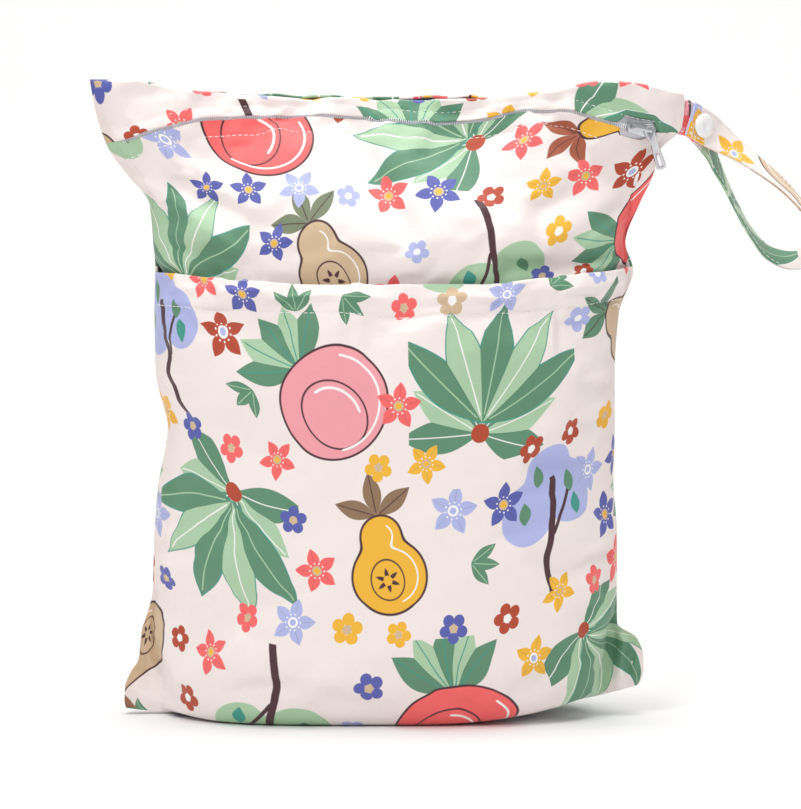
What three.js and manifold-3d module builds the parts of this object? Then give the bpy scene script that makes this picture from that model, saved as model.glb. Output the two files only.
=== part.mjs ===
// Two-pocket zipped cloth bag, filled and standing, with a strap loop snapped shut at its top right corner.
// Millimetres, +Z up, front towards -Y, origin on the floor under the middle of the bag.
import * as THREE from 'three';
import { mergeVertices } from 'three/addons/utils/BufferGeometryUtils.js';
import Module from 'manifold-3d';

const wasm = await Module();
wasm.setup();

// Driving sizes
const FLAT_WIDTH = 300;
const STAND_HEIGHT = 320;
const BODY_DEPTH = 116;
const WALL = 1.4;
const PLAY = 0.3;
const POCKET_ROOM = 14;
const POCKET_STEP = 4.2;
const HEM_HEIGHT = 14;
const HEM_EXTRA = 1.1;
const SEAM_GAP = 0.4;
const ZIP_SLIT = 4.6;
const ZIP_TAPE_HEIGHT = 17;
const ZIP_TAPE_THICK = 0.9;
const TEETH_HEIGHT = 3.8;
const TEETH_THICK = 1.5;
const SLIDER_LENGTH = 12.5;
const SLIDER_HEIGHT = 7.6;
const SLIDER_THICK = 3;
const SLIDER_ROOM = 1.5;
const BRIDGE_WIDTH = 2.2;
const BRIDGE_ROOM = 2;
const BRIDGE_BAR = 1.2;
const PULL_LENGTH = 24;
const PULL_WIDTH = 5;
const PULL_THICK = 1.1;
const PULL_LEAN = 20;
const STRAP_WIDTH = 18;
const STRAP_THICK = 1.8;
const STRAP_REACH = 72;
const STRAP_BACK = 24;
const SNAP_RADIUS = 6.2;
const SNAP_DOME = 1.7;
const SNAP_POST = 1.3;
const SNAP_DISC = 4.6;
const SNAP_PLAY = 0.55;
const SNAP_FLANGE = 0.7;
const POCKET_EASE = 24;
const SEAM_FORWARD = 5;

const HALF_WIDTH = FLAT_WIDTH / 2;
const HALF_DEPTH = BODY_DEPTH / 2;

// The filled body, one row for each level from the bottom seam to the top edge.
// up, leftUp, rightUp are shares of the height, in the middle and at the side seams.
// out is a share of half the depth; left and right are shares of half the flat width.
// flat squares the face, leftEdge and rightEdge sharpen its sides, and leftEar and rightEar are
// the shares of the reach where the cloth lies flat on itself as an ear.
// floor is how far the wall thickens upwards, room how far the pocket is open.
const ROWS = [
  {
    up: 0, out: 0, left: 0.88, leftUp: 0.008, right: 0.845, rightUp: 0.045,
    flat: 4, leftEdge: 0.6, rightEdge: 0.6, leftEar: 0.15, rightEar: 0.17, floor: 1, room: 0,
  },
  {
    up: 0, out: 0.36, left: 0.886, leftUp: 0.022, right: 0.857, rightUp: 0.056,
    flat: 4, leftEdge: 0.6, rightEdge: 0.62, leftEar: 0.15, rightEar: 0.17, floor: 1, room: 0,
  },
  {
    up: 0, out: 0.68, left: 0.885, leftUp: 0.042, right: 0.864, rightUp: 0.072,
    flat: 4, leftEdge: 0.6, rightEdge: 0.62, leftEar: 0.15, rightEar: 0.175, floor: 1, room: 0,
  },
  {
    up: 0.014, out: 0.87, left: 0.868, leftUp: 0.064, right: 0.864, rightUp: 0.092,
    flat: 3.8, leftEdge: 0.6, rightEdge: 0.62, leftEar: 0.14, rightEar: 0.17, floor: 0.7, room: 0,
  },
  {
    up: 0.052, out: 0.975, left: 0.84, leftUp: 0.086, right: 0.845, rightUp: 0.118,
    flat: 3.6, leftEdge: 0.58, rightEdge: 0.6, leftEar: 0.1, rightEar: 0.13, floor: 0.3, room: 0.2,
  },
  {
    up: 0.115, out: 1, left: 0.83, leftUp: 0.128, right: 0.777, rightUp: 0.143,
    flat: 3.3, leftEdge: 0.58, rightEdge: 0.58, leftEar: 0.07, rightEar: 0.04, floor: 0, room: 0.6,
  },
  {
    up: 0.195, out: 1, left: 0.792, leftUp: 0.195, right: 0.775, rightUp: 0.195,
    flat: 3, leftEdge: 0.57, rightEdge: 0.56, leftEar: 0.02, rightEar: 0, floor: 0, room: 0.9,
  },
  {
    up: 0.285, out: 0.995, left: 0.785, leftUp: 0.285, right: 0.775, rightUp: 0.285,
    flat: 2.8, leftEdge: 0.54, rightEdge: 0.54, leftEar: 0, rightEar: 0, floor: 0, room: 1,
  },
  {
    up: 0.37, out: 0.985, left: 0.768, leftUp: 0.37, right: 0.762, rightUp: 0.37,
    flat: 2.8, leftEdge: 0.54, rightEdge: 0.54, leftEar: 0, rightEar: 0, floor: 0, room: 1,
  },
  {
    up: 0.453, out: 0.975, left: 0.738, leftUp: 0.453, right: 0.766, rightUp: 0.453,
    flat: 2.8, leftEdge: 0.52, rightEdge: 0.54, leftEar: 0, rightEar: 0, floor: 0, room: 1,
  },
  {
    up: 0.54, out: 0.965, left: 0.777, leftUp: 0.54, right: 0.765, rightUp: 0.54,
    flat: 2.8, leftEdge: 0.54, rightEdge: 0.54, leftEar: 0, rightEar: 0, floor: 0, room: 1,
  },
  {
    up: 0.63, out: 0.94, left: 0.781, leftUp: 0.63, right: 0.777, rightUp: 0.63,
    flat: 2.9, leftEdge: 0.56, rightEdge: 0.58, leftEar: 0, rightEar: 0, floor: 0, room: 1,
  },
  {
    up: 0.7, out: 0.88, left: 0.779, leftUp: 0.7, right: 0.826, rightUp: 0.7,
    flat: 3, leftEdge: 0.6, rightEdge: 0.68, leftEar: 0, rightEar: 0.02, floor: 0, room: 1,
  },
  {
    up: 0.745, out: 0.79, left: 0.785, leftUp: 0.745, right: 0.8, rightUp: 0.745,
    flat: 3, leftEdge: 0.64, rightEdge: 0.68, leftEar: 0, rightEar: 0.01, floor: 0, room: 1,
  },
  {
    up: 0.805, out: 0.61, left: 0.797, leftUp: 0.805, right: 0.847, rightUp: 0.805,
    flat: 3, leftEdge: 0.75, rightEdge: 0.8, leftEar: 0.02, rightEar: 0.04, floor: 0, room: 1,
  },
  {
    up: 0.85, out: 0.45, left: 0.867, leftUp: 0.85, right: 0.893, rightUp: 0.85,
    flat: 3.2, leftEdge: 0.85, rightEdge: 0.9, leftEar: 0.06, rightEar: 0.06, floor: 0, room: 1,
  },
  {
    up: 0.888, out: 0.31, left: 0.926, leftUp: 0.888, right: 0.915, rightUp: 0.888,
    flat: 3.6, leftEdge: 0.95, rightEdge: 1, leftEar: 0.05, rightEar: 0.04, floor: 0, room: 1,
  },
  {
    up: 0.925, out: 0.19, left: 0.957, leftUp: 0.925, right: 0.99, rightUp: 0.925,
    flat: 4.4, leftEdge: 1, rightEdge: 1, leftEar: 0.03, rightEar: 0.03, floor: 0, room: 1,
  },
  {
    up: 0.963, out: 0.1, left: 0.977, leftUp: 0.963, right: 1, rightUp: 0.963,
    flat: 5, leftEdge: 1, rightEdge: 1, leftEar: 0.02, rightEar: 0.02, floor: 0, room: 1,
  },
  {
    up: 1, out: 0.055, left: 0.99, leftUp: 1, right: 0.995, rightUp: 1,
    flat: 6, leftEdge: 1, rightEdge: 1, leftEar: 0, rightEar: 0, floor: 0, room: 1,
  },
];

// Lines across the front: across is -1 at the left seam and 1 at the right, up a share of the height.
const TOP_EDGE = [
  { across: -1, up: 1, sway: -0.03 },
  { across: -0.84, up: 0.999, sway: -0.012 },
  { across: -0.72, up: 0.986, sway: 0.004 },
  { across: -0.5, up: 0.978, sway: 0.014 },
  { across: -0.15, up: 0.968, sway: 0.02 },
  { across: 0.14, up: 0.969, sway: 0.014 },
  { across: 0.34, up: 0.972, sway: 0.002 },
  { across: 0.52, up: 0.98, sway: -0.008 },
  { across: 0.73, up: 0.998, sway: -0.006 },
  { across: 0.85, up: 0.994, sway: 0.005 },
  { across: 1, up: 0.978, sway: 0.022 },
];
const ZIP_LINE = [
  { across: -1, up: 0.9 },
  { across: -0.93, up: 0.908 },
  { across: -0.8, up: 0.926 },
  { across: -0.62, up: 0.943 },
  { across: -0.3, up: 0.946 },
  { across: 0, up: 0.939 },
  { across: 0.16, up: 0.935 },
  { across: 0.31, up: 0.941 },
  { across: 0.48, up: 0.954 },
  { across: 0.6, up: 0.955 },
  { across: 0.7, up: 0.944 },
  { across: 0.85, up: 0.924 },
  { across: 1, up: 0.916 },
];
const POCKET_LINE = [
  { across: -1, up: 0.696 },
  { across: -0.6, up: 0.69 },
  { across: -0.3, up: 0.685 },
  { across: 0.35, up: 0.684 },
  { across: 0.65, up: 0.691 },
  { across: 0.82, up: 0.697 },
  { across: 1, up: 0.704 },
];

// Folds pressed into the front: from and to as across and up shares of half width and height,
// deep and wide as shares of half the depth. A minus depth is a ridge.
const FOLDS = [
  { name: 'right bottom tuck', x0: 0.755, z0: 0.16, x1: 0.775, z1: 0.05, deep: 0.11, wide: 0.07 },
  { name: 'left bottom pull', x0: -0.8, z0: 0.08, x1: -0.62, z1: 0.2, deep: 0.05, wide: 0.1 },
  { name: 'left bottom ridge', x0: -0.72, z0: 0.05, x1: -0.5, z1: 0.13, deep: -0.035, wide: 0.1 },
  { name: 'left waist dent', x0: -0.74, z0: 0.455, x1: -0.52, z1: 0.47, deep: 0.055, wide: 0.17 },
  { name: 'right waist dent', x0: 0.75, z0: 0.39, x1: 0.55, z1: 0.41, deep: 0.035, wide: 0.16 },
  { name: 'left shoulder fold', x0: -0.84, z0: 0.86, x1: -0.45, z1: 0.775, deep: 0.06, wide: 0.11 },
  { name: 'left shoulder ridge', x0: -0.8, z0: 0.83, x1: -0.5, z1: 0.735, deep: -0.035, wide: 0.1 },
  { name: 'right shoulder fold', x0: 0.83, z0: 0.85, x1: 0.5, z1: 0.79, deep: 0.07, wide: 0.11 },
  { name: 'right shoulder ridge', x0: 0.8, z0: 0.815, x1: 0.55, z1: 0.75, deep: -0.04, wide: 0.1 },
  { name: 'dip above pocket right', x0: 0.4, z0: 0.712, x1: 0.78, z1: 0.722, deep: 0.06, wide: 0.1 },
  { name: 'middle drape', x0: -0.1, z0: 0.9, x1: 0.06, z1: 0.77, deep: 0.03, wide: 0.2 },
  { name: 'belly hollow', x0: -0.25, z0: 0.2, x1: 0.3, z1: 0.16, deep: 0.025, wide: 0.3 },
];

// Smooth curve through a table's column that never overshoots its rows.
function through(places, values, at) {
  const last = places.length - 1;
  if (at <= places[0]) return values[0];
  if (at >= places[last]) return values[last];
  let k = 0;
  while (at > places[k + 1]) k += 1;
  const slope = (i) => (values[i + 1] - values[i]) / (places[i + 1] - places[i]);
  const tangent = (i) => {
    if (i === 0) return slope(0);
    if (i === last) return slope(last - 1);
    const before = slope(i - 1);
    const after = slope(i);
    return before * after <= 0 ? 0 : (2 * before * after) / (before + after);
  };
  const width = places[k + 1] - places[k];
  const t = (at - places[k]) / width;
  const t2 = t * t;
  const t3 = t2 * t;
  return values[k] * (2 * t3 - 3 * t2 + 1) + tangent(k) * width * (t3 - 2 * t2 + t)
    + values[k + 1] * (3 * t2 - 2 * t3) + tangent(k + 1) * width * (t3 - t2);
}

// The first row that runs level from seam to seam.
const UPPER_FROM = ROWS.findIndex((row) => row.up > 0 && row.leftUp === row.up && row.rightUp === row.up);
const ROW_PLACES = ROWS.map((row, index) => index);
const COLUMNS = Object.fromEntries(Object.keys(ROWS[0]).map((key) => [key, ROWS.map((row) => row[key])]));

function rowAt(level) {
  const row = {};
  for (const key of Object.keys(COLUMNS)) row[key] = through(ROW_PLACES, COLUMNS[key], level);
  return row;
}

function lineAt(table, across, key = 'up') {
  return through(table.map((point) => point.across), table.map((point) => point[key]), across);
}

function levelOf(height) {
  let low = UPPER_FROM;
  let high = ROWS.length - 1;
  for (let step = 0; step < 40; step += 1) {
    const middle = (low + high) / 2;
    if (through(ROW_PLACES, COLUMNS.up, middle) * STAND_HEIGHT < height) low = middle;
    else high = middle;
  }
  return (low + high) / 2;
}

function smooth(from, to, at) {
  const t = Math.min(1, Math.max(0, (at - from) / (to - from)));
  return t * t * (3 - 2 * t);
}

function foldDepth(x, z) {
  let sum = 0;
  for (const fold of FOLDS) {
    const ax = fold.x0 * HALF_WIDTH;
    const az = fold.z0 * STAND_HEIGHT;
    const bx = fold.x1 * HALF_WIDTH - ax;
    const bz = fold.z1 * STAND_HEIGHT - az;
    const along = Math.min(1, Math.max(0, ((x - ax) * bx + (z - az) * bz) / (bx * bx + bz * bz)));
    const away = Math.hypot(x - ax - along * bx, z - az - along * bz) / (fold.wide * HALF_DEPTH);
    sum += fold.deep * HALF_DEPTH * Math.exp(-away * away);
  }
  return sum;
}

const topHeight = (across) => lineAt(TOP_EDGE, across) * STAND_HEIGHT;
const zipHeight = (across) => lineAt(ZIP_LINE, across) * STAND_HEIGHT;
const pocketHeight = (across) => lineAt(POCKET_LINE, across) * STAND_HEIGHT;
const SLIDER_ACROSS = 0.85;
const COLUMNS_ACROSS = 24;
const TAPE_ENDS = 3;
const spread = (i) => Math.sin(((2 * i) / COLUMNS_ACROSS - 1) * (Math.PI / 2));

function slitHalf(across) {
  const end = smooth(spread(COLUMNS_ACROSS - TAPE_ENDS + 1), 0.892, Math.abs(across));
  const near = Math.abs(across - SLIDER_ACROSS) * HALF_WIDTH;
  const bulge = smooth(SLIDER_LENGTH / 2 + 4, SLIDER_LENGTH / 2 + 1, near);
  const open = ZIP_SLIT / 2 + (SLIDER_HEIGHT / 2 + SLIDER_ROOM - ZIP_SLIT / 2) * bulge;
  return PLAY / 2 + (open - PLAY / 2) * end;
}

// One point of a cloth layer. facing is -1 on the front and 1 on the back.
// off is the layer's distance from the seam plane, inset and sunk take it in from the outer form.
function layerPoint(across, level, layer, outer, onEdge) {
  const row = rowAt(level);
  const left = across < 0;
  const share = Math.abs(across);
  const endUp = left ? row.leftUp : row.rightUp;
  const flatZ = (row.up + (endUp - row.up) * share ** (left ? 6 : 2.6)) * STAND_HEIGHT;
  const wall = layer.wall + (layer.extra ? layer.extra(across, flatZ) : 0);
  const reach = (left ? row.left : row.right) * HALF_WIDTH - layer.inset(across, flatZ) - (outer ? 0 : wall);
  const x = across * reach;
  const outerX = across * (left ? row.left : row.right) * HALF_WIDTH;
  const edge = left ? row.leftEdge : row.rightEdge;
  const ear = left ? row.leftEar : row.rightEar;
  const round = Math.max(0, 1 - (share / (1 - ear)) ** row.flat) ** edge;
  const dent = layer.facing < 0 ? foldDepth(outerX, flatZ) * Math.min(1, 3 * (1 - share)) * smooth(0, 12, row.out * HALF_DEPTH) : 0;
  const full = row.out * HALF_DEPTH - layer.off - layer.sunk(across, flatZ, row) - wall;
  const depth = Math.max(0, full) * round;
  const sway = lineAt(TOP_EDGE, across, 'sway') * STAND_HEIGHT * smooth(0.74, 0.99, flatZ / STAND_HEIGHT)
    - row.floor * SEAM_FORWARD;
  const stand = onEdge ? PLAY / 2 : layer.off + (outer ? wall : 0) + Math.max(-0.6 * depth, depth - dent);
  const z = flatZ + row.floor * (layer.raise + (outer ? 0 : wall));
  return new THREE.Vector3(x, sway + layer.facing * stand, z);
}

// A closed body between two grids of points and the rim that joins them.
function closedBody(columns, rows, outerAt, innerAt) {
  const positions = [];
  const index = [];
  const id = (side, i, j) => side * (columns + 1) * (rows + 1) + j * (columns + 1) + i;
  for (const at of [outerAt, innerAt]) {
    for (let j = 0; j <= rows; j += 1) {
      for (let i = 0; i <= columns; i += 1) {
        const p = at(i, j);
        positions.push(p.x, p.y, p.z);
      }
    }
  }
  const quad = (a, b, c, d) => index.push(a, b, c, a, c, d);
  for (let j = 0; j < rows; j += 1) {
    for (let i = 0; i < columns; i += 1) {
      quad(id(0, i, j), id(0, i + 1, j), id(0, i + 1, j + 1), id(0, i, j + 1));
      quad(id(1, i, j), id(1, i, j + 1), id(1, i + 1, j + 1), id(1, i + 1, j));
    }
  }
  for (let i = 0; i < columns; i += 1) {
    quad(id(0, i + 1, 0), id(0, i, 0), id(1, i, 0), id(1, i + 1, 0));
    quad(id(0, i, rows), id(0, i + 1, rows), id(1, i + 1, rows), id(1, i, rows));
  }
  for (let j = 0; j < rows; j += 1) {
    quad(id(0, 0, j), id(0, 0, j + 1), id(1, 0, j + 1), id(1, 0, j));
    quad(id(0, columns, j + 1), id(0, columns, j), id(1, columns, j), id(1, columns, j + 1));
  }
  const geometry = new THREE.BufferGeometry();
  geometry.setAttribute('position', new THREE.Float32BufferAttribute(positions, 3));
  geometry.setIndex(index);
  return outward(geometry);
}

function volumeOf(geometry) {
  const p = geometry.attributes.position;
  const order = geometry.index;
  let sum = 0;
  const a = new THREE.Vector3();
  const b = new THREE.Vector3();
  const c = new THREE.Vector3();
  for (let k = 0; k < order.count; k += 3) {
    a.fromBufferAttribute(p, order.getX(k));
    b.fromBufferAttribute(p, order.getX(k + 1));
    c.fromBufferAttribute(p, order.getX(k + 2));
    sum += a.dot(b.cross(c)) / 6;
  }
  return sum;
}

function outward(geometry) {
  if (volumeOf(geometry) < 0) {
    const order = Array.from(geometry.index.array);
    for (let k = 0; k < order.length; k += 3) [order[k], order[k + 1]] = [order[k + 1], order[k]];
    geometry.setIndex(order);
  }
  return geometry;
}

// A cloth panel: levels is a list of functions that give the row level at each place across.
// ends leaves out that many columns next to each seam.
function clothPanel(layer, ends, levels, closeTop) {
  const columns = COLUMNS_ACROSS - 2 * ends;
  const at = (outer) => (i, j) => {
    const across = spread(i + ends);
    const seam = ends === 0 && (i === 0 || i === columns);
    const bottom = j === 0 && layer.fromSeam;
    const top = j === levels.length - 1 && closeTop;
    const point = layerPoint(across, levels[j](across), layer, outer, seam || bottom || top);
    if (top && !outer) point.z -= layer.wall;
    return point;
  };
  return closedBody(columns, levels.length - 1, at(true), at(false));
}

const fixedLevel = (level) => () => level;
const BASE_LEVELS = [0, 0.5, 1, 1.6, 2.2, 2.7, 3.2, 3.7, 4.3, 5].map(fixedLevel);

// Levels that climb from one height line to another in even steps, the first left out.
function climb(from, to, steps) {
  const list = [];
  for (let k = 1; k <= steps; k += 1) {
    list.push((across) => levelOf(from(across) + ((to(across) - from(across)) * k) / steps));
  }
  return list;
}
const offLine = (line, by) => (across) => line(across) + by;
const lowLine = () => ROWS[UPPER_FROM].up * STAND_HEIGHT;

const none = () => 0;
const frontStep = (across, z) => smooth(POCKET_EASE, -1, z - pocketHeight(across));
const frontLayer = {
  facing: -1,
  wall: WALL,
  off: PLAY / 2,
  raise: WALL + SEAM_GAP,
  inset: (across, z) => (WALL + SEAM_GAP) * smooth(12, -1, z - pocketHeight(across))
    + (HEM_EXTRA + ZIP_TAPE_THICK + SEAM_GAP) * smooth(7, -1, z - pocketHeight(across))
      * smooth(-HEM_HEIGHT - 16, -HEM_HEIGHT - 4, z - pocketHeight(across)),
  sunk: (across, z, row) => {
    const below = smooth(-1, -20, z - pocketHeight(across));
    const inner = 1 - Math.abs(across) ** 4;
    const edge = 1 - Math.abs(across) ** 10;
    const under = (WALL + SEAM_GAP) + POCKET_ROOM * row.room * inner * below;
    const behind = (POCKET_STEP + HEM_EXTRA - WALL) * edge * smooth(-HEM_HEIGHT - 10, -HEM_HEIGHT / 2 - 1, z - pocketHeight(across));
    return frontStep(across, z) * (under + behind);
  },
  fromSeam: true,
};
const pocketLayer = {
  facing: -1,
  wall: WALL,
  off: PLAY / 2 + WALL + SEAM_GAP,
  raise: 0,
  inset: none,
  sunk: none,
  extra: (across, z) => HEM_EXTRA * smooth(-HEM_HEIGHT - 1.5, -HEM_HEIGHT, z - pocketHeight(across))
    * smooth(1, 0.9, Math.abs(across)),
  fromSeam: true,
};
const backLayer = { facing: 1, wall: WALL, off: PLAY / 2, raise: 0, inset: none, sunk: none, fromSeam: true };
const stripLayer = { facing: -1, wall: WALL, off: PLAY / 2, raise: 0, inset: none, sunk: none };
const tapeLayer = {
  facing: -1,
  wall: ZIP_TAPE_THICK,
  off: -PLAY / 2 - ZIP_TAPE_THICK,
  raise: 0,
  inset: () => WALL + PLAY,
  sunk: () => WALL + PLAY,
};
const teethLayer = {
  facing: -1,
  wall: TEETH_THICK,
  off: PLAY / 2,
  raise: 0,
  inset: () => WALL - TEETH_THICK,
  sunk: () => WALL - TEETH_THICK,
};
const pocketTapeLayer = {
  facing: -1,
  wall: ZIP_TAPE_THICK,
  off: pocketLayer.off - PLAY - ZIP_TAPE_THICK,
  raise: 0,
  inset: () => WALL + HEM_EXTRA + PLAY,
  sunk: () => WALL + HEM_EXTRA + PLAY,
};

function material(color, roughness, metalness = 0) {
  return new THREE.MeshStandardMaterial({ color, roughness, metalness });
}

const bag = new THREE.Group();
bag.name = 'two_pocket_bag';

function add(name, geometry, look, parent = bag) {
  const mesh = new THREE.Mesh(geometry, look);
  mesh.name = name;
  parent.add(mesh);
  return mesh;
}

// Cloth panels
const pocketOff = (by) => offLine(pocketHeight, by);
const zipOff = (by) => offLine(zipHeight, by);
const only = (line) => [(across) => levelOf(line(across))];
const zipLow = (across) => zipHeight(across) - slitHalf(across);
const zipHigh = (across) => zipHeight(across) + slitHalf(across);
const nearTop = offLine(topHeight, -1.3);

const frontLevels = [
  ...BASE_LEVELS,
  () => UPPER_FROM,
  ...climb(lowLine, pocketOff(-HEM_HEIGHT - 10), 7),
  ...only(pocketOff(-HEM_HEIGHT - 5)),
  ...only(pocketOff(-HEM_HEIGHT)),
  ...only(pocketOff(-HEM_HEIGHT / 2)),
  ...climb(pocketOff(-HEM_HEIGHT / 2), pocketOff(9), 3),
  ...climb(pocketOff(9), zipOff(-ZIP_TAPE_HEIGHT / 2), 7),
  ...only(zipLow),
];
const pocketLevels = [
  ...BASE_LEVELS,
  () => UPPER_FROM,
  ...climb(lowLine, pocketOff(-HEM_HEIGHT - 10), 7),
  ...only(pocketOff(-HEM_HEIGHT - 5)),
  ...only(pocketOff(-HEM_HEIGHT - 1.5)),
  ...only(pocketOff(-HEM_HEIGHT)),
  ...only(pocketOff(-HEM_HEIGHT / 2)),
  ...only(pocketHeight),
];
const tapeTop = (across) => Math.min(zipHeight(across) + ZIP_TAPE_HEIGHT / 2, topHeight(across) - 4);
const backLevels = [
  ...BASE_LEVELS,
  () => UPPER_FROM,
  ...climb(lowLine, zipOff(-ZIP_TAPE_HEIGHT / 2), 14),
  ...only(zipLow),
  ...only(zipHigh),
  ...only(tapeTop),
  ...only(nearTop),
  ...only(topHeight),
];
const stripLevels = [
  ...only(zipHigh),
  ...only(tapeTop),
  ...only(nearTop),
  ...only(topHeight),
];

add('back_panel', clothPanel(backLayer, 0, backLevels, true), material(0xf3e6df, 0.6));
add('front_panel', clothPanel(frontLayer, 0, frontLevels, false), material(0xf6e9e2, 0.58));
add('pocket_panel', clothPanel(pocketLayer, 0, pocketLevels, false), material(0xf4e7df, 0.58));
add('top_strip', clothPanel(stripLayer, 0, stripLevels, true), material(0xf2e3da, 0.6));

// Zips: the tape lies behind the slit, the teeth fill it up to the slider, the pocket's zip is plain.
add('top_zip_tape', clothPanel(tapeLayer, TAPE_ENDS, [
  ...only(zipOff(-ZIP_TAPE_HEIGHT / 2)),
  ...only(zipLow),
  ...only(zipHigh),
  ...only(tapeTop),
], false), material(0xefeef2, 0.75));

const sliderLeft = SLIDER_ACROSS - (SLIDER_LENGTH / 2 + 0.5) / HALF_WIDTH;
const TEETH_FIRST = 4;
const TEETH_LAST = 19;
const teethAt = (outer) => (i, j) => {
  const across = i + TEETH_FIRST > TEETH_LAST ? sliderLeft : spread(i + TEETH_FIRST);
  const height = zipHeight(across) + (j - 0.5) * TEETH_HEIGHT;
  return layerPoint(across, levelOf(height), teethLayer, outer, false);
};
const teethBody = closedBody(TEETH_LAST - TEETH_FIRST + 1, 1, teethAt(true), teethAt(false));
add('top_zip_teeth', teethBody, material(0xf4f2f5, 0.5));

add('pocket_zip', clothPanel(pocketTapeLayer, 4, [
  ...only(pocketOff(-HEM_HEIGHT)),
  ...only(pocketOff(-HEM_HEIGHT / 2)),
  ...only(pocketOff(-1)),
], false), material(0xefeef2, 0.75));

// Solid joins and cuts
function toSolid(geometry) {
  const bare = geometry.clone();
  for (const key of Object.keys(bare.attributes)) {
    if (key !== 'position') bare.deleteAttribute(key);
  }
  const merged = mergeVertices(bare, 1e-4);
  return new wasm.Manifold(new wasm.Mesh({
    numProp: 3,
    vertProperties: new Float32Array(merged.attributes.position.array),
    triVerts: new Uint32Array(merged.index.array),
  }));
}

function toGeometry(solid) {
  const mesh = solid.getMesh();
  const geometry = new THREE.BufferGeometry();
  geometry.setAttribute('position', new THREE.Float32BufferAttribute(Array.from(mesh.vertProperties), 3));
  geometry.setIndex(Array.from(mesh.triVerts));
  return geometry;
}

function slab(shape, thick, curveSegments = 8) {
  return new THREE.ExtrudeGeometry(shape, { depth: thick, bevelEnabled: false, curveSegments });
}

// Slider, in a frame with x along the zip, y up the cloth and z out of it.
const sliderSeat = layerPoint(SLIDER_ACROSS, levelOf(zipHeight(SLIDER_ACROSS)), stripLayer, true, false);
const seatSide = (by) => layerPoint(SLIDER_ACROSS + by, levelOf(zipHeight(SLIDER_ACROSS + by)), stripLayer, true, false);
const seatLow = layerPoint(SLIDER_ACROSS, levelOf(zipHeight(SLIDER_ACROSS) - 5), stripLayer, true, false);
const alongZip = new THREE.Vector3().subVectors(seatSide(0.04), seatSide(-0.04)).normalize();
const upCloth = new THREE.Vector3().subVectors(sliderSeat, seatLow).normalize();
const outOfCloth = new THREE.Vector3().crossVectors(alongZip, upCloth).normalize();
const upZip = new THREE.Vector3().crossVectors(outOfCloth, alongZip).normalize();
const sliderFrame = new THREE.Group();
sliderFrame.applyMatrix4(new THREE.Matrix4().makeBasis(alongZip, upZip, outOfCloth).setPosition(sliderSeat));
bag.add(sliderFrame);

const sliderBack = 0.3 - WALL;
const sliderFront = sliderBack + SLIDER_THICK;
const half = SLIDER_LENGTH / 2;
const tall = SLIDER_HEIGHT / 2;
const shield = new THREE.Shape();
shield.moveTo(-half, -0.55 * tall);
shield.quadraticCurveTo(-half, -0.75 * tall, -half + 1.5, -0.8 * tall);
shield.lineTo(half - 4, -tall);
shield.quadraticCurveTo(half, -tall, half, -0.4 * tall);
shield.lineTo(half, 0.4 * tall);
shield.quadraticCurveTo(half, tall, half - 4, tall);
shield.lineTo(-half + 1.5, 0.8 * tall);
shield.quadraticCurveTo(-half, 0.75 * tall, -half, 0.55 * tall);
shield.closePath();
const sliderPlate = slab(shield, SLIDER_THICK, 4);
sliderPlate.translate(0, 0, sliderBack);

const legLeft = -half + 1.2;
const legRight = half - 2.2;
const legWide = 2;
const archTop = sliderFront + BRIDGE_ROOM + BRIDGE_BAR;
const arch = new THREE.Shape();
arch.moveTo(legLeft, sliderFront - 0.5);
arch.lineTo(legLeft, archTop - 1.2);
arch.quadraticCurveTo(legLeft, archTop, legLeft + 1.6, archTop);
arch.lineTo(legRight + legWide - 1.6, archTop);
arch.quadraticCurveTo(legRight + legWide, archTop, legRight + legWide, archTop - 1.2);
arch.lineTo(legRight + legWide, sliderFront - 0.5);
arch.lineTo(legRight, sliderFront - 0.5);
arch.lineTo(legRight, sliderFront + BRIDGE_ROOM);
arch.lineTo(legLeft + legWide, sliderFront + BRIDGE_ROOM);
arch.lineTo(legLeft + legWide, sliderFront - 0.5);
arch.closePath();
const bridge = slab(arch, BRIDGE_WIDTH, 4);
bridge.translate(0, 0, -BRIDGE_WIDTH / 2);
bridge.rotateX(Math.PI / 2);
const sliderSolid = toSolid(sliderPlate).add(toSolid(bridge));
add('top_zip_slider', toGeometry(sliderSolid), material(0xc9ccd2, 0.22, 1), sliderFrame);

// The pull hangs from the bridge's right leg and swings about it.
const pullFrame = new THREE.Group();
pullFrame.position.set(legRight + legWide / 2, 0, sliderFront + (BRIDGE_ROOM - PULL_THICK) / 2);
const slope = Math.atan2(alongZip.z, alongZip.x);
pullFrame.rotation.z = THREE.MathUtils.degToRad(PULL_LEAN) - slope;
sliderFrame.add(pullFrame);
const tabHalf = PULL_WIDTH / 2;
const tabEnd = PULL_LENGTH - 3;
const tab = new THREE.Shape();
tab.moveTo(-tabHalf * 1.15, 0);
tab.absarc(0, 0, tabHalf * 1.25, Math.PI, 0, true);
tab.lineTo(tabHalf * 0.72, -0.3 * tabEnd);
tab.lineTo(tabHalf, -0.8 * tabEnd);
tab.lineTo(tabHalf, -tabEnd + 1.6);
tab.quadraticCurveTo(tabHalf, -tabEnd, 0, -tabEnd);
tab.quadraticCurveTo(-tabHalf, -tabEnd, -tabHalf, -tabEnd + 1.6);
tab.lineTo(-tabHalf, -0.8 * tabEnd);
tab.lineTo(-tabHalf * 0.72, -0.3 * tabEnd);
tab.closePath();
const eye = new THREE.Path();
eye.absarc(0, 0, 1.85, 0, Math.PI * 2, false);
tab.holes.push(eye);
const slot = new THREE.Path();
slot.moveTo(-0.9, -0.62 * tabEnd);
slot.lineTo(-0.9, -tabEnd + 2.6);
slot.absarc(0, -tabEnd + 2.6, 0.9, Math.PI, 0, false);
slot.lineTo(0.9, -0.62 * tabEnd);
slot.absarc(0, -0.62 * tabEnd, 0.9, 0, Math.PI, false);
tab.holes.push(slot);
const pullPlate = slab(tab, PULL_THICK, 6);
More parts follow.
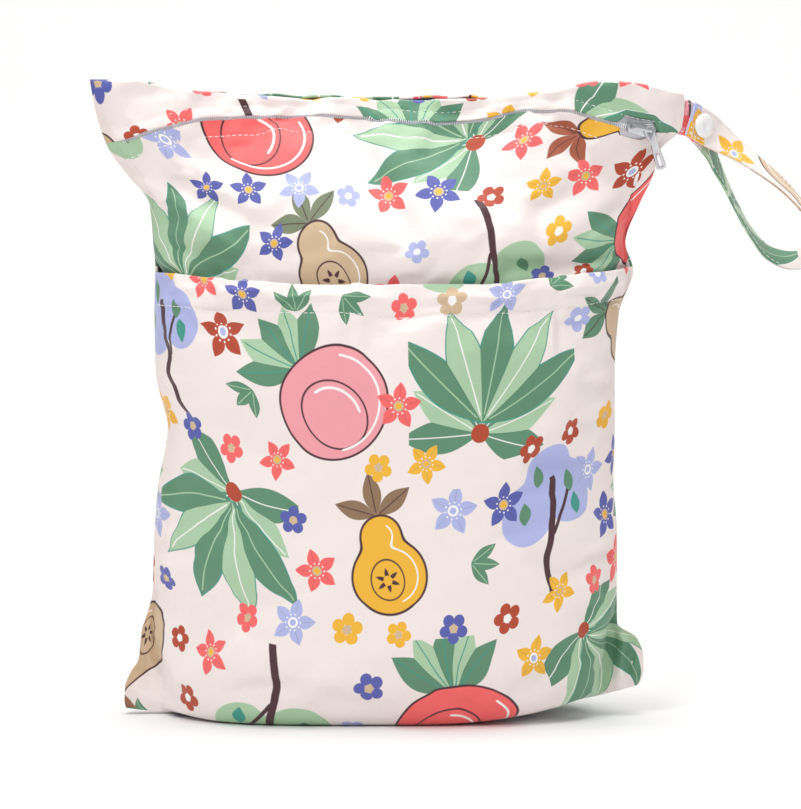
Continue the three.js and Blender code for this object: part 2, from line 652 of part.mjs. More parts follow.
add('top_zip_pull', toGeometry(toSolid(pullPlate)), material(0xd4d7dd, 0.2, 1), pullFrame);

// Strap loop, from the side seam round to its free end, which is snapped over the start.
// right, back and drop are shares of its reach, its sweep backwards and its reach again.
// over is 1 where the free end lies over the start, a snap's stack away; lean turns the band from upright.
const STRAP_UP = 0.941;
const STRAP_START = layerPoint(1, levelOf(STRAP_UP * STAND_HEIGHT), backLayer, true, true);
STRAP_START.x += PLAY;
STRAP_START.y -= PLAY / 2;
const STRAP = [
  { right: 0, back: 0, drop: 0, lean: 90 },
  { right: 0.02, back: 0.025, drop: 0.006, lean: 90 },
  { right: 0.055, back: 0.125, drop: 0.022, lean: 90 },
  { right: 0.1, back: 0.25, drop: 0.055, lean: 89 },
  { right: 0.14, back: 0.35, drop: 0.105, lean: 84 },
  { right: 0.185, back: 0.45, drop: 0.2, lean: 68 },
  { right: 0.23, back: 0.54, drop: 0.31, lean: 46 },
  { right: 0.3, back: 0.63, drop: 0.45, lean: 30 },
  { right: 0.39, back: 0.7, drop: 0.63, lean: 22 },
  { right: 0.5, back: 0.74, drop: 0.82, lean: 22 },
  { right: 0.62, back: 0.74, drop: 0.95, lean: 27 },
  { right: 0.77, back: 0.72, drop: 1, lean: 33 },
  { right: 0.91, back: 0.67, drop: 0.965, lean: 35 },
  { right: 0.98, back: 0.62, drop: 0.86, lean: 33 },
  { right: 0.94, back: 0.57, drop: 0.74, lean: 27 },
  { right: 0.83, back: 0.53, drop: 0.6, lean: 24 },
  { right: 0.68, back: 0.5, drop: 0.45, lean: 27 },
  { right: 0.5, back: 0.47, drop: 0.31, lean: 34 },
  { right: 0.36, back: 0.41, drop: 0.21, lean: 48 },
  { right: 0.25, back: 0.3, drop: 0.135, lean: 68 },
  { right: 0.1425, back: 0.336, drop: 0.09, lean: 84, over: 1 },
  { right: 0.0825, back: 0.208, drop: 0.055, lean: 89, over: 1 },
  { right: 0.0025, back: 0.011, drop: 0.012, lean: 90, over: 1 },
];
const SNAP_STACK = 2 * (STRAP_THICK / 2 + SNAP_PLAY + SNAP_FLANGE) + PLAY;
const STACK_TURN = THREE.MathUtils.degToRad(52);
const strapPoint = (row) => new THREE.Vector3(
  STRAP_START.x + row.right * STRAP_REACH + (row.over ?? 0) * SNAP_STACK * Math.cos(STACK_TURN),
  STRAP_START.y + row.back * STRAP_BACK - (row.over ?? 0) * SNAP_STACK * Math.sin(STACK_TURN),
  STRAP_START.z - row.drop * STRAP_REACH,
);
const strapPath = new THREE.CatmullRomCurve3(STRAP.map(strapPoint), false, 'centripetal');
const strapLeans = STRAP.map((row) => row.lean);
const strapPlaces = STRAP.map((row, index) => index / (STRAP.length - 1));

function strapFrame(t) {
  const tangent = strapPath.getTangent(t);
  const lean = THREE.MathUtils.degToRad(through(strapPlaces, strapLeans, t));
  const wide = new THREE.Vector3(0, Math.cos(lean), Math.sin(lean));
  wide.addScaledVector(tangent, -wide.dot(tangent)).normalize();
  const normal = new THREE.Vector3().crossVectors(tangent, wide).normalize();
  return { at: strapPath.getPoint(t), tangent, wide, normal };
}

const STRAP_STEPS = 84;
const strapSide = (sign) => (i, j) => {
  const frame = strapFrame(j / STRAP_STEPS);
  const across = i - 1;
  const thin = across === 0 ? 1 : 0.8;
  return frame.at.clone()
    .addScaledVector(frame.wide, (across * STRAP_WIDTH) / 2)
    .addScaledVector(frame.normal, (sign * thin * STRAP_THICK) / 2);
};
const strapBand = closedBody(2, STRAP_STEPS, strapSide(1), strapSide(-1));

// The snap clamps through both layers of the strap.
const SNAP_RIGHT = 0.13;
let snapT = 1;
for (let t = 0.8; t < 1; t += 0.001) {
  const gap = Math.abs(strapPath.getPoint(t).x - (STRAP_START.x + SNAP_RIGHT * STRAP_REACH));
  const best = Math.abs(strapPath.getPoint(snapT).x - (STRAP_START.x + SNAP_RIGHT * STRAP_REACH));
  if (gap < best) snapT = t;
}
const snapFrame = strapFrame(snapT);
if (snapFrame.normal.y > 0) snapFrame.normal.negate();
const snapAxis = snapFrame.normal;
let fixedDistance = 0;
for (let t = 0; t < 0.25; t += 0.0005) {
  const to = strapPath.getPoint(t).sub(snapFrame.at);
  const depthBehind = -to.dot(snapAxis);
  const aside = to.addScaledVector(snapAxis, depthBehind);
  aside.addScaledVector(snapFrame.wide, -aside.dot(snapFrame.wide));
  if (aside.length() < 0.06) fixedDistance = depthBehind;
}

// Round snap half in a frame with y along the snap's axis, outwards.
function snapHalf(radius, dome, near, far) {
  const profile = [
    new THREE.Vector2(0, near + dome),
    new THREE.Vector2(radius * 0.55, near + dome * 0.86),
    new THREE.Vector2(radius * 0.88, near + dome * 0.5),
    new THREE.Vector2(radius, near + dome * 0.18),
    new THREE.Vector2(radius, near),
    new THREE.Vector2(SNAP_POST, near),
    new THREE.Vector2(SNAP_POST, -far),
    new THREE.Vector2(SNAP_DISC, -far),
    new THREE.Vector2(SNAP_DISC, -far - SNAP_FLANGE),
    new THREE.Vector2(0, -far - SNAP_FLANGE),
  ];
  return new THREE.LatheGeometry(profile.reverse(), 18);
}
const clear = STRAP_THICK / 2 + SNAP_PLAY;
const snapGroup = new THREE.Group();
const snapSide = new THREE.Vector3().crossVectors(snapFrame.wide, snapAxis).normalize();
snapGroup.applyMatrix4(new THREE.Matrix4().makeBasis(snapFrame.wide, snapAxis, snapSide).setPosition(snapFrame.at));
bag.add(snapGroup);
const cap = add('snap_cap', toGeometry(toSolid(snapHalf(SNAP_RADIUS, SNAP_DOME, clear, clear))), material(0xfdfdfd, 0.3), snapGroup);
outward(cap.geometry);
const backHalf = toGeometry(toSolid(snapHalf(SNAP_RADIUS, SNAP_DOME * 0.8, clear, clear)));
outward(backHalf);
const back = add('snap_back', backHalf, material(0xfdfdfd, 0.3), snapGroup);
back.rotation.x = Math.PI;
back.position.y = -fixedDistance;

const bore = new THREE.CylinderGeometry(SNAP_POST + SNAP_PLAY, SNAP_POST + SNAP_PLAY, 24, 16);
bore.applyMatrix4(new THREE.Matrix4().makeBasis(snapFrame.wide, snapAxis, snapSide).setPosition(snapFrame.at));
add('strap', toGeometry(toSolid(strapBand).subtract(toSolid(bore))), material(0xf5e3d8, 0.6));

export default bag;
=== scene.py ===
import math

import bmesh
import bpy
import numpy as np
from mathutils import Matrix, Vector


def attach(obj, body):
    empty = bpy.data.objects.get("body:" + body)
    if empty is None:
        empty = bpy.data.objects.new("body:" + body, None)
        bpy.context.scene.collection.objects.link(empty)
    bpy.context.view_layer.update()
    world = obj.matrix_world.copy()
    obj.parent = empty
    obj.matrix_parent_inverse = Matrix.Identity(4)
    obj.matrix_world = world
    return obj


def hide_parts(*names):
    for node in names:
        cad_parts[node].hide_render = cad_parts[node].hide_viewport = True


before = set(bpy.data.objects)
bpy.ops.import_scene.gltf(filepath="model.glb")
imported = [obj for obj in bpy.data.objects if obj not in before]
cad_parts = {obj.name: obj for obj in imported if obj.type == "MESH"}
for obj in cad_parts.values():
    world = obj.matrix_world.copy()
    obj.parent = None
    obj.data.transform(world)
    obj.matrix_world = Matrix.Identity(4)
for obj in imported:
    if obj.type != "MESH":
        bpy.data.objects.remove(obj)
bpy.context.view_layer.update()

# Sizes in millimetres, as in the part. Blender pieces are made in metres.
MM = 0.001
FLAT_WIDTH = 300
HEIGHT = 320
DEPTH = 116
WALL = 1.4
PLAY = 0.3
POCKET_ROOM = 14
POCKET_STEP = 4.2
HEM_HEIGHT = 14
HEM_EXTRA = 1.1
SEAM_GAP = 0.4
ZIP_SLIT = 4.6
TAPE_HEIGHT = 17
TAPE_THICK = 0.9
SLIDER_LENGTH = 12.5
SLIDER_HEIGHT = 7.6
SLIDER_ROOM = 1.5
STRAP_WIDTH = 18
STRAP_THICK = 1.8
STRAP_REACH = 72
STRAP_BACK = 24
SNAP_RADIUS = 6.2
SNAP_DOME = 1.7
SNAP_POST = 1.3
SNAP_DISC = 4.6
SNAP_PLAY = 0.55
SNAP_FLANGE = 0.7
POCKET_EASE = 24
SEAM_FORWARD = 5
HALF_WIDTH = FLAT_WIDTH / 2
HALF_DEPTH = DEPTH / 2
LEVEL_FROM = 6

# Lines of stitching: below the pocket's edge, and below and above the top zip. Ends of the zip tapes, across.
POCKET_STITCH = 15.4
LOW_STITCH = 9.2
HIGH_STITCH = 4.4
TAPE_REACH = 0.925
POCKET_TAPE_REACH = 0.87

# The filled body from the bottom seam to the top edge, as in the part.
ROW_KEYS = ("up", "out", "left", "left_up", "right", "right_up", "flat", "left_edge", "right_edge",
            "left_ear", "right_ear", "floor", "room")
ROWS = np.array([
    (0, 0, 0.88, 0.008, 0.845, 0.045, 4, 0.6, 0.6, 0.15, 0.17, 1, 0),
    (0, 0.36, 0.886, 0.022, 0.857, 0.056, 4, 0.6, 0.62, 0.15, 0.17, 1, 0),
    (0, 0.68, 0.885, 0.042, 0.864, 0.072, 4, 0.6, 0.62, 0.15, 0.175, 1, 0),
    (0.014, 0.87, 0.868, 0.064, 0.864, 0.092, 3.8, 0.6, 0.62, 0.14, 0.17, 0.7, 0),
    (0.052, 0.975, 0.84, 0.086, 0.845, 0.118, 3.6, 0.58, 0.6, 0.1, 0.13, 0.3, 0.2),
    (0.115, 1, 0.83, 0.128, 0.777, 0.143, 3.3, 0.58, 0.58, 0.07, 0.04, 0, 0.6),
    (0.195, 1, 0.792, 0.195, 0.775, 0.195, 3, 0.57, 0.56, 0.02, 0, 0, 0.9),
    (0.285, 0.995, 0.785, 0.285, 0.775, 0.285, 2.8, 0.54, 0.54, 0, 0, 0, 1),
    (0.37, 0.985, 0.768, 0.37, 0.762, 0.37, 2.8, 0.54, 0.54, 0, 0, 0, 1),
    (0.453, 0.975, 0.738, 0.453, 0.766, 0.453, 2.8, 0.52, 0.54, 0, 0, 0, 1),
    (0.54, 0.965, 0.777, 0.54, 0.765, 0.54, 2.8, 0.54, 0.54, 0, 0, 0, 1),
    (0.63, 0.94, 0.781, 0.63, 0.777, 0.63, 2.9, 0.56, 0.58, 0, 0, 0, 1),
    (0.7, 0.88, 0.779, 0.7, 0.826, 0.7, 3, 0.6, 0.68, 0, 0.02, 0, 1),
    (0.745, 0.79, 0.785, 0.745, 0.8, 0.745, 3, 0.64, 0.68, 0, 0.01, 0, 1),
    (0.805, 0.61, 0.797, 0.805, 0.847, 0.805, 3, 0.75, 0.8, 0.02, 0.04, 0, 1),
    (0.85, 0.45, 0.867, 0.85, 0.893, 0.85, 3.2, 0.85, 0.9, 0.06, 0.06, 0, 1),
    (0.888, 0.31, 0.926, 0.888, 0.915, 0.888, 3.6, 0.95, 1, 0.05, 0.04, 0, 1),
    (0.925, 0.19, 0.957, 0.925, 0.99, 0.925, 4.4, 1, 1, 0.03, 0.03, 0, 1),
    (0.963, 0.1, 0.977, 0.963, 1, 0.963, 5, 1, 1, 0.02, 0.02, 0, 1),
    (1, 0.055, 0.99, 1, 0.995, 1, 6, 1, 1, 0, 0, 0, 1),
])
TOP_LEVEL = len(ROWS) - 1

# Lines across the front: across, share of the height, and for the top edge its sway.
TOP_EDGE = np.array([
    (-1, 1, -0.03), (-0.84, 0.999, -0.012), (-0.72, 0.986, 0.004), (-0.5, 0.978, 0.014),
    (-0.15, 0.968, 0.02), (0.14, 0.969, 0.014), (0.34, 0.972, 0.002), (0.52, 0.98, -0.008),
    (0.73, 0.998, -0.006), (0.85, 0.994, 0.005), (1, 0.978, 0.022),
])
ZIP_LINE = np.array([
    (-1, 0.9), (-0.93, 0.908), (-0.8, 0.926), (-0.62, 0.943), (-0.3, 0.946), (0, 0.939), (0.16, 0.935),
    (0.31, 0.941), (0.48, 0.954), (0.6, 0.955), (0.7, 0.944), (0.85, 0.924), (1, 0.916),
])
POCKET_LINE = np.array([
    (-1, 0.696), (-0.6, 0.69), (-0.3, 0.685), (0.35, 0.684), (0.65, 0.691), (0.82, 0.697), (1, 0.704),
])

# Main folds, as in the part: from across, up to across, up, then depth and width in half depths.
FOLDS = (
    (0.755, 0.16, 0.775, 0.05, 0.11, 0.07),
    (-0.8, 0.08, -0.62, 0.2, 0.05, 0.1),
    (-0.72, 0.05, -0.5, 0.13, -0.035, 0.1),
    (-0.74, 0.455, -0.52, 0.47, 0.055, 0.17),
    (0.75, 0.39, 0.55, 0.41, 0.035, 0.16),
    (-0.84, 0.86, -0.45, 0.775, 0.06, 0.11),
    (-0.8, 0.83, -0.5, 0.735, -0.035, 0.1),
    (0.83, 0.85, 0.5, 0.79, 0.07, 0.11),
    (0.8, 0.815, 0.55, 0.75, -0.04, 0.1),
    (0.4, 0.712, 0.78, 0.722, 0.06, 0.1),
    (-0.1, 0.9, 0.06, 0.77, 0.03, 0.2),
    (-0.25, 0.2, 0.3, 0.16, 0.025, 0.3),
)

# Finer creases in millimetres: x, z to x, z, depth and width. A minus depth is a ridge.
FRONT_CREASES = (
    (-137, 272, -92, 234, 3.0, 5.5), (-128, 286, -78, 250, 2.2, 6), (-128, 262, -98, 240, -2.2, 5),
    (-112, 292, -70, 270, 1.4, 5), (-139, 276, -104, 262, -1.8, 3.5), (-116, 246, -84, 222, 1.6, 5),
    (132, 268, 92, 238, 3.2, 5.5), (126, 284, 78, 258, 2.4, 6), (128, 258, 100, 240, -2.2, 5),
    (118, 246, 92, 226, 1.8, 4.5), (58, 229, 120, 233, 1.6, 5), (-116, 228, -70, 230, 1.0, 5),
    (-30, 292, -18, 268, 0.8, 9), (44, 296, 30, 262, 0.7, 10), (84, 292, 70, 270, 0.8, 8),
)
POCKET_CREASES = (
    (-128, 20, -74, 58, 1.6, 8), (-112, 8, -44, 20, 1.3, 7), (-24, 9, 48, 13, 1.0, 8),
    (58, 12, 100, 38, 1.6, 8), (112, 46, 112.5, 13, 4.4, 3.0), (119, 37, 116.5, 14, -4.8, 3.2),
    (124.5, 40, 121.5, 19, 1.6, 2.4), (104, 50, 105, 16, -2.6, 4.5), (128, 37, 125, 23, -2.4, 2.4),
    (110, 51, 126, 45, -2.2, 3), (-116, 150, -76, 145, 1.2, 7), (116, 128, 84, 132, 1.0, 7),
    (-114, 84, -84, 96, 0.9, 8), (112, 84, 86, 76, 1.0, 7), (-118, 206, -88, 196, 1.0, 7),
    (118, 208, 92, 198, 1.0, 7), (104, 60, 112, 36, -1.2, 5),
)
BACK_CREASES = (
    (-134, 268, -92, 236, 1.8, 7), (132, 266, 92, 238, 1.8, 7), (-30, 290, -10, 240, 1.2, 14),
    (60, 284, 40, 236, 1.2, 14), (-110, 150, -60, 140, 1.4, 10), (108, 130, 64, 138, 1.4, 10),
    (-124, 22, -70, 62, 1.8, 9), (112, 40, 76, 64, 1.8, 9), (-40, 60, 30, 50, 1.0, 14),
)


def through(places, values, at):
    """Smooth curve through a column that never overshoots its rows, for an array of places."""
    at = np.clip(np.asarray(at, float), places[0], places[-1])
    steps = np.diff(places)
    slopes = np.diff(values) / steps
    tangents = np.empty(len(places))
    tangents[0], tangents[-1] = slopes[0], slopes[-1]
    before, after = slopes[:-1], slopes[1:]
    total = before + after
    level = before * after <= 0
    tangents[1:-1] = np.where(level, 0, 2 * before * after / np.where(level, 1, total))
    k = np.clip(np.searchsorted(places, at, side="left") - 1, 0, len(steps) - 1)
    t = (at - places[k]) / steps[k]
    t2, t3 = t * t, t * t * t
    return (values[k] * (2 * t3 - 3 * t2 + 1) + tangents[k] * steps[k] * (t3 - 2 * t2 + t)
            + values[k + 1] * (3 * t2 - 2 * t3) + tangents[k + 1] * steps[k] * (t3 - t2))


ROW_PLACES = np.arange(len(ROWS), dtype=float)
UP_LEVELS = np.linspace(LEVEL_FROM, TOP_LEVEL, 3000)
UP_HEIGHTS = through(ROW_PLACES, ROWS[:, 0], UP_LEVELS) * HEIGHT


def row_at(level):
    return {key: through(ROW_PLACES, ROWS[:, k], level) for k, key in enumerate(ROW_KEYS)}


def line_at(table, across, column=1):
    return through(table[:, 0], table[:, column], across)


def level_of(height):
    return np.interp(height, UP_HEIGHTS, UP_LEVELS)


def smooth(low, high, at):
    t = np.clip((at - low) / (high - low), 0, 1)
    return t * t * (3 - 2 * t)


def top_height(across):
    return line_at(TOP_EDGE, across) * HEIGHT


def zip_height(across):
    return line_at(ZIP_LINE, across) * HEIGHT


def pocket_height(across):
    return line_at(POCKET_LINE, across) * HEIGHT


def sway_of(across, height):
    """How far the seam plane leans towards the top edge."""
    return line_at(TOP_EDGE, across, 2) * HEIGHT * smooth(0.74, 0.99, height / HEIGHT)


def away_from(x, z, x0, z0, x1, z1):
    """Distance of each point from a straight stretch."""
    bx, bz = x1 - x0, z1 - z0
    along = np.clip(((x - x0) * bx + (z - z0) * bz) / (bx * bx + bz * bz), 0, 1)
    return np.hypot(x - x0 - along * bx, z - z0 - along * bz)


def fold_depth(x, z):
    total = 0
    for x0, z0, x1, z1, deep, wide in FOLDS:
        away = away_from(x, z, x0 * HALF_WIDTH, z0 * HEIGHT, x1 * HALF_WIDTH, z1 * HEIGHT)
        away = away / (wide * HALF_DEPTH)
        total = total + deep * HALF_DEPTH * np.exp(-away * away)
    return total


SLIDER_ACROSS = 0.85
TAPE_END = math.sin((2 * 22 / 24 - 1) * math.pi / 2)


def slit_half(across):
    end = smooth(TAPE_END, 0.892, np.abs(across))
    near = np.abs(across - SLIDER_ACROSS) * HALF_WIDTH
    bulge = smooth(SLIDER_LENGTH / 2 + 4, SLIDER_LENGTH / 2 + 1, near)
    wide = ZIP_SLIT / 2 + (SLIDER_HEIGHT / 2 + SLIDER_ROOM - ZIP_SLIT / 2) * bulge
    return PLAY / 2 + (wide - PLAY / 2) * end


# Cloth layers: how far each lies in from the outer form, at the sides and in depth.
def nothing(across, z, row=None):
    return 0 * across


def front_inset(across, z):
    off = z - pocket_height(across)
    at_hem = smooth(7, -1, off) * smooth(-HEM_HEIGHT - 16, -HEM_HEIGHT - 4, off)
    return (WALL + SEAM_GAP) * smooth(12, -1, off) + (HEM_EXTRA + TAPE_THICK + SEAM_GAP) * at_hem


def front_sunk(across, z, row):
    off = z - pocket_height(across)
    under = (WALL + SEAM_GAP) + POCKET_ROOM * row["room"] * (1 - np.abs(across) ** 4) * smooth(-1, -20, off)
    behind = ((POCKET_STEP + HEM_EXTRA - WALL) * (1 - np.abs(across) ** 10)
              * smooth(-HEM_HEIGHT - 10, -HEM_HEIGHT / 2 - 1, off))
    return smooth(POCKET_EASE, -1, off) * (under + behind)


def hem_extra(across, z):
    off = z - pocket_height(across)
    return HEM_EXTRA * smooth(-HEM_HEIGHT - 1.5, -HEM_HEIGHT, off) * smooth(1, 0.9, np.abs(across))


def layer(facing, wall, off, raised=0, inset=nothing, sunk=nothing, extra=nothing, creases=(), waves=0, seed=1):
    """A cloth layer: the way it faces, its wall, how far off the seam plane it starts, and how it is worked."""
    return {"facing": facing, "wall": wall, "off": off, "raised": raised, "inset": inset, "sunk": sunk,
            "extra": extra, "creases": creases, "waves": waves, "seed": seed}


def behind(deep):
    """The inset and the sunk of a tape that lies behind a wall."""
    return {"inset": lambda a, z: deep + 0 * a, "sunk": lambda a, z, row: deep + 0 * a}


FRONT = layer(-1, WALL, PLAY / 2, WALL + SEAM_GAP, front_inset, front_sunk, creases=FRONT_CREASES, waves=0.7,
              seed=3)
POCKET = layer(-1, WALL, PLAY / 2 + WALL + SEAM_GAP, extra=hem_extra, creases=POCKET_CREASES, waves=0.8, seed=5)
BACK = layer(1, WALL, PLAY / 2, creases=BACK_CREASES, waves=1.4, seed=8)
STRIP = layer(-1, WALL, PLAY / 2, waves=0.3, seed=3)
TAPE = layer(-1, TAPE_THICK, -PLAY / 2 - TAPE_THICK, **behind(WALL + PLAY))
POCKET_TAPE = layer(-1, TAPE_THICK, POCKET["off"] - PLAY - TAPE_THICK, **behind(WALL + HEM_EXTRA + PLAY))


# The wrinkles of the settled cloth.
SETTLED = None


def soft_waves(x, z, size, seed):
    """Slow swells of the cloth, between about -1 and 1."""
    rng = np.random.default_rng(seed)
    total = 0 * x
    for _ in range(7):
        turn = rng.uniform(0, math.pi)
        length = size * rng.uniform(0.7, 1.6)
        along = x * math.cos(turn) + z * math.sin(turn)
        total = total + np.sin(along * 2 * math.pi / length + rng.uniform(0, 6.28))
    return total / 3.2


def stitched(x, away, tall, pitch, reach, seed, deep, wide):
    """Gathers beside a line of stitching, flat on the line itself, and the groove that the thread pulls."""
    turns = x * 2 * math.pi / pitch
    ripple = np.sin(turns + 1.7 * np.sin(turns / 3.3 + seed) + 0.9 * np.sin(turns / 1.7 + 2.1 * seed))
    strength = 0.6 + 0.4 * np.sin(turns / 5 + 1.3 * seed)
    far = np.abs(away)
    gathers = ripple * strength * (1 - np.exp(-(far / 1.6) ** 2)) * np.exp(-far / reach)
    return tall * gathers - deep * np.exp(-(away / wide) ** 2)


def worked(across, x, z, cloth):
    """How far wear, stitching and creases move the cloth outwards, in millimetres."""
    waves, seed = cloth["waves"], cloth["seed"]
    if not waves:
        return 0 * x
    inner = 1 - np.abs(across)
    swells = waves * soft_waves(x, z, 62, seed) + 0.35 * waves * soft_waves(x, z, 23, seed + 40)
    if cloth is FRONT or cloth is STRIP:
        from_zip = z - zip_height(across)
        swells = swells + stitched(x, from_zip + LOW_STITCH, 0.55, 13, 8, 1, 0.35, 0.9)
        swells = swells + stitched(x, from_zip - HIGH_STITCH, 0.3, 9, 4, 4, 0.25, 0.8)
    if cloth is POCKET:
        off = z - pocket_height(across)
        swells = swells + stitched(x, off + POCKET_STITCH, 0.7, 15, 10, 2, 0.4, 1.0)
        swells = swells + 0.7 * np.exp(-((off + 6) / 5) ** 2)
    lift = swells * smooth(0, 0.1, inner)
    for x0, z0, x1, z1, deep, wide in cloth["creases"]:
        away = away_from(x, z, x0, z0, x1, z1) / wide
        lift = lift - deep * np.exp(-away * away) * smooth(0, 0.05, inner)
    pulled = np.exp(-inner * HALF_WIDTH / 13) * smooth(0, 0.03, inner)
    phase = z * 0.29 + 1.4 * np.sin(z * 0.083 + seed) + (2 if cloth["facing"] > 0 else 0)
    return lift + 0.9 * pulled * np.sin(phase)


def standing(across, x, flat_z, row, cloth, outer):
    """How far a layer's face stands from the seam plane, with its folds, and its wear by its true x."""
    left = across < 0
    share = np.abs(across)
    wall = cloth["wall"] + cloth["extra"](across, flat_z)
    outer_x = across * np.where(left, row["left"], row["right"]) * HALF_WIDTH
    edge = np.where(left, row["left_edge"], row["right_edge"])
    ear = np.where(left, row["left_ear"], row["right_ear"])
    swell = np.maximum(0, 1 - (share / (1 - ear)) ** row["flat"]) ** edge
    dent = 0
    if cloth["facing"] < 0:
        dent = fold_depth(outer_x, flat_z) * np.minimum(1, 3 * (1 - share))
        dent = dent * smooth(0, 12, row["out"] * HALF_DEPTH)
    full = row["out"] * HALF_DEPTH - cloth["off"] - cloth["sunk"](across, flat_z, row) - wall
    depth = np.maximum(0, full) * swell
    stand = cloth["off"] + (wall if outer else 0) + np.maximum(-0.6 * depth, depth - dent)
    clear_of_floor = smooth(8 if cloth["facing"] < 0 else 4, 26, flat_z)
    lift = worked(across, x, flat_z, cloth) * clear_of_floor
    room = np.minimum(1, depth / 6) if cloth is not STRIP else 1
    return stand + np.where(lift < 0, lift * room, lift)


def cloth_at(across, level, cloth, outer, on_edge=False, forward=0):
    """Points of a cloth layer, as an array of x, y, z in millimetres."""
    across = np.asarray(across, float)
    level = np.asarray(level, float)
    row = row_at(level)
    left = across < 0
    end_up = np.where(left, row["left_up"], row["right_up"])
    flat_z = (row["up"] + (end_up - row["up"]) * np.abs(across) ** np.where(left, 6, 2.6)) * HEIGHT
    wall = cloth["wall"] + cloth["extra"](across, flat_z)
    side = np.where(left, row["left"], row["right"]) * HALF_WIDTH
    x = across * (side - cloth["inset"](across, flat_z) - (0 if outer else wall))
    sway = sway_of(across, flat_z) - row["floor"] * SEAM_FORWARD
    stand = standing(across, x, flat_z, row, cloth, outer)
    if cloth is FRONT:
        under = standing(across, x, flat_z, row, POCKET, False) - SEAM_GAP - (0 if outer else wall)
        stand = np.where(flat_z < pocket_height(across) - 0.5, np.minimum(stand, under), stand)
    stand = np.where(on_edge, PLAY / 2, stand + forward)
    z = flat_z + row["floor"] * (cloth["raised"] + (0 if outer else wall))
    points = np.stack([x, sway + cloth["facing"] * stand, z], -1)
    return settle(points, across, level, cloth)


# Settling: the sewn form is inflated a little with cloth that is slightly too large for its seams, and the
# wrinkles that this leaves are kept, without the swelling.
SETTLE_COLUMNS, SETTLE_ROWS = 96, 108
SETTLE_FRAMES = 22
SETTLE_EXTRA = 0.05
SETTLE_MOST = 5
SETTLE_SWELLING = 9
LINE_HOLD, LINE_REACH = 0.35, 3.5
FINE_LEVELS = 4000


def even_levels():
    """Rows that lie evenly along the middle of the front."""
    levels = np.linspace(0, TOP_LEVEL, FINE_LEVELS)
    line = cloth_at(np.zeros(FINE_LEVELS), levels, POCKET, True)
    run = np.concatenate([[0], np.cumsum(np.linalg.norm(np.diff(line, axis=0), axis=1))])
    return np.interp(np.linspace(0, run[-1], SETTLE_ROWS + 1), run, levels)


def blurred(grid, across_steps, up_steps):
    """Soft average over neighbouring points."""
    for axis, steps in ((0, up_steps), (1, across_steps)):
        reach = int(3 * steps)
        weights = np.exp(-0.5 * (np.arange(-reach, reach + 1) / steps) ** 2)
        weights /= weights.sum()
        beyond = [(reach, reach) if k == axis else (0, 0) for k in range(3)]
        padded = np.pad(grid, beyond, mode="reflect", reflect_type="odd")
        length = grid.shape[axis]
        grid = sum(w * np.take(padded, range(k, k + length), axis=axis) for k, w in enumerate(weights))
    return grid


def grid_quads(index):
    """The faces between the points of a grid."""
    return np.stack([index[:-1, :-1], index[:-1, 1:], index[1:, 1:], index[1:, :-1]], -1).reshape(-1, 4)


def settled():
    """How far each point of the front and back moves, as grids over across and level, in millimetres."""
    levels = even_levels()
    turns = np.linspace(-1, 1, SETTLE_COLUMNS + 1)
    wide, up = np.meshgrid(np.sin(turns * math.pi / 2), levels)
    points, faces, pinned = [], [], []
    quads = grid_quads(np.arange(wide.size).reshape(wide.shape))
    for cloth in (POCKET, BACK):
        grid = cloth_at(wide, up, cloth, True)
        faces += ((quads if cloth is POCKET else quads[:, ::-1]) + len(points)).tolist()
        points += [tuple(p) for p in grid.reshape(-1, 3) * MM]
        held = np.zeros(wide.shape)
        held[:, [0, -1]] = 1
        held[[0, -1]] = 1
        for line in (zip_height, pocket_height) if cloth is POCKET else ():
            near = np.exp(-((grid[..., 2] - line(wide)) / LINE_REACH) ** 2)
            held = np.maximum(held, LINE_HOLD * near)
        pinned.append(held.ravel())
    mesh = bpy.data.meshes.new("settling")
    mesh.from_pydata(points, [], faces)
    body = bpy.data.objects.new("settling", mesh)
    bpy.context.scene.collection.objects.link(body)
    group = body.vertex_groups.new(name="seams")
    for k, weight in enumerate(np.concatenate(pinned)):
        if weight > 0.01:
            group.add([k], float(weight), "REPLACE")
    cloth = body.modifiers.new("Cloth", "CLOTH")
    given = cloth.settings
    given.quality = 6
    given.mass = 0.15
    given.tension_stiffness = given.compression_stiffness = 18
    given.shear_stiffness = 8
    given.bending_stiffness = 0.18
    given.use_pressure = True
    given.uniform_pressure_force = 2.2
    given.shrink_min = given.shrink_max = -SETTLE_EXTRA
    given.vertex_group_mass = "seams"
    given.effector_weights.gravity = 0
    cloth.collision_settings.use_collision = False
    scene = bpy.context.scene
    for step in range(1, SETTLE_FRAMES + 1):
        scene.frame_set(step)
    graph = bpy.context.evaluated_depsgraph_get()
    moved = bpy.data.meshes.new_from_object(body.evaluated_get(graph), depsgraph=graph)
    after = np.empty(len(points) * 3)
    moved.vertices.foreach_get("co", after)
    scene.frame_set(1)
    bpy.data.objects.remove(body)
    move = (after.reshape(-1, 3) - np.array(points)).reshape(2, *wide.shape, 3) / MM
    result = []
    for side in move:
        keep = side - blurred(side, SETTLE_SWELLING, SETTLE_SWELLING)
        size = np.linalg.norm(keep, axis=2, keepdims=True)
        keep = keep * SETTLE_MOST * np.tanh(size / SETTLE_MOST) / np.maximum(size, 1e-6)
        clear = smooth(0, 0.06, 1 - np.abs(wide)) * smooth(0, 0.05, (up - up.min()) / TOP_LEVEL)
        clear = clear * smooth(0, 0.3, TOP_LEVEL - up)
        result.append(keep * clear[..., None])
    return levels, result


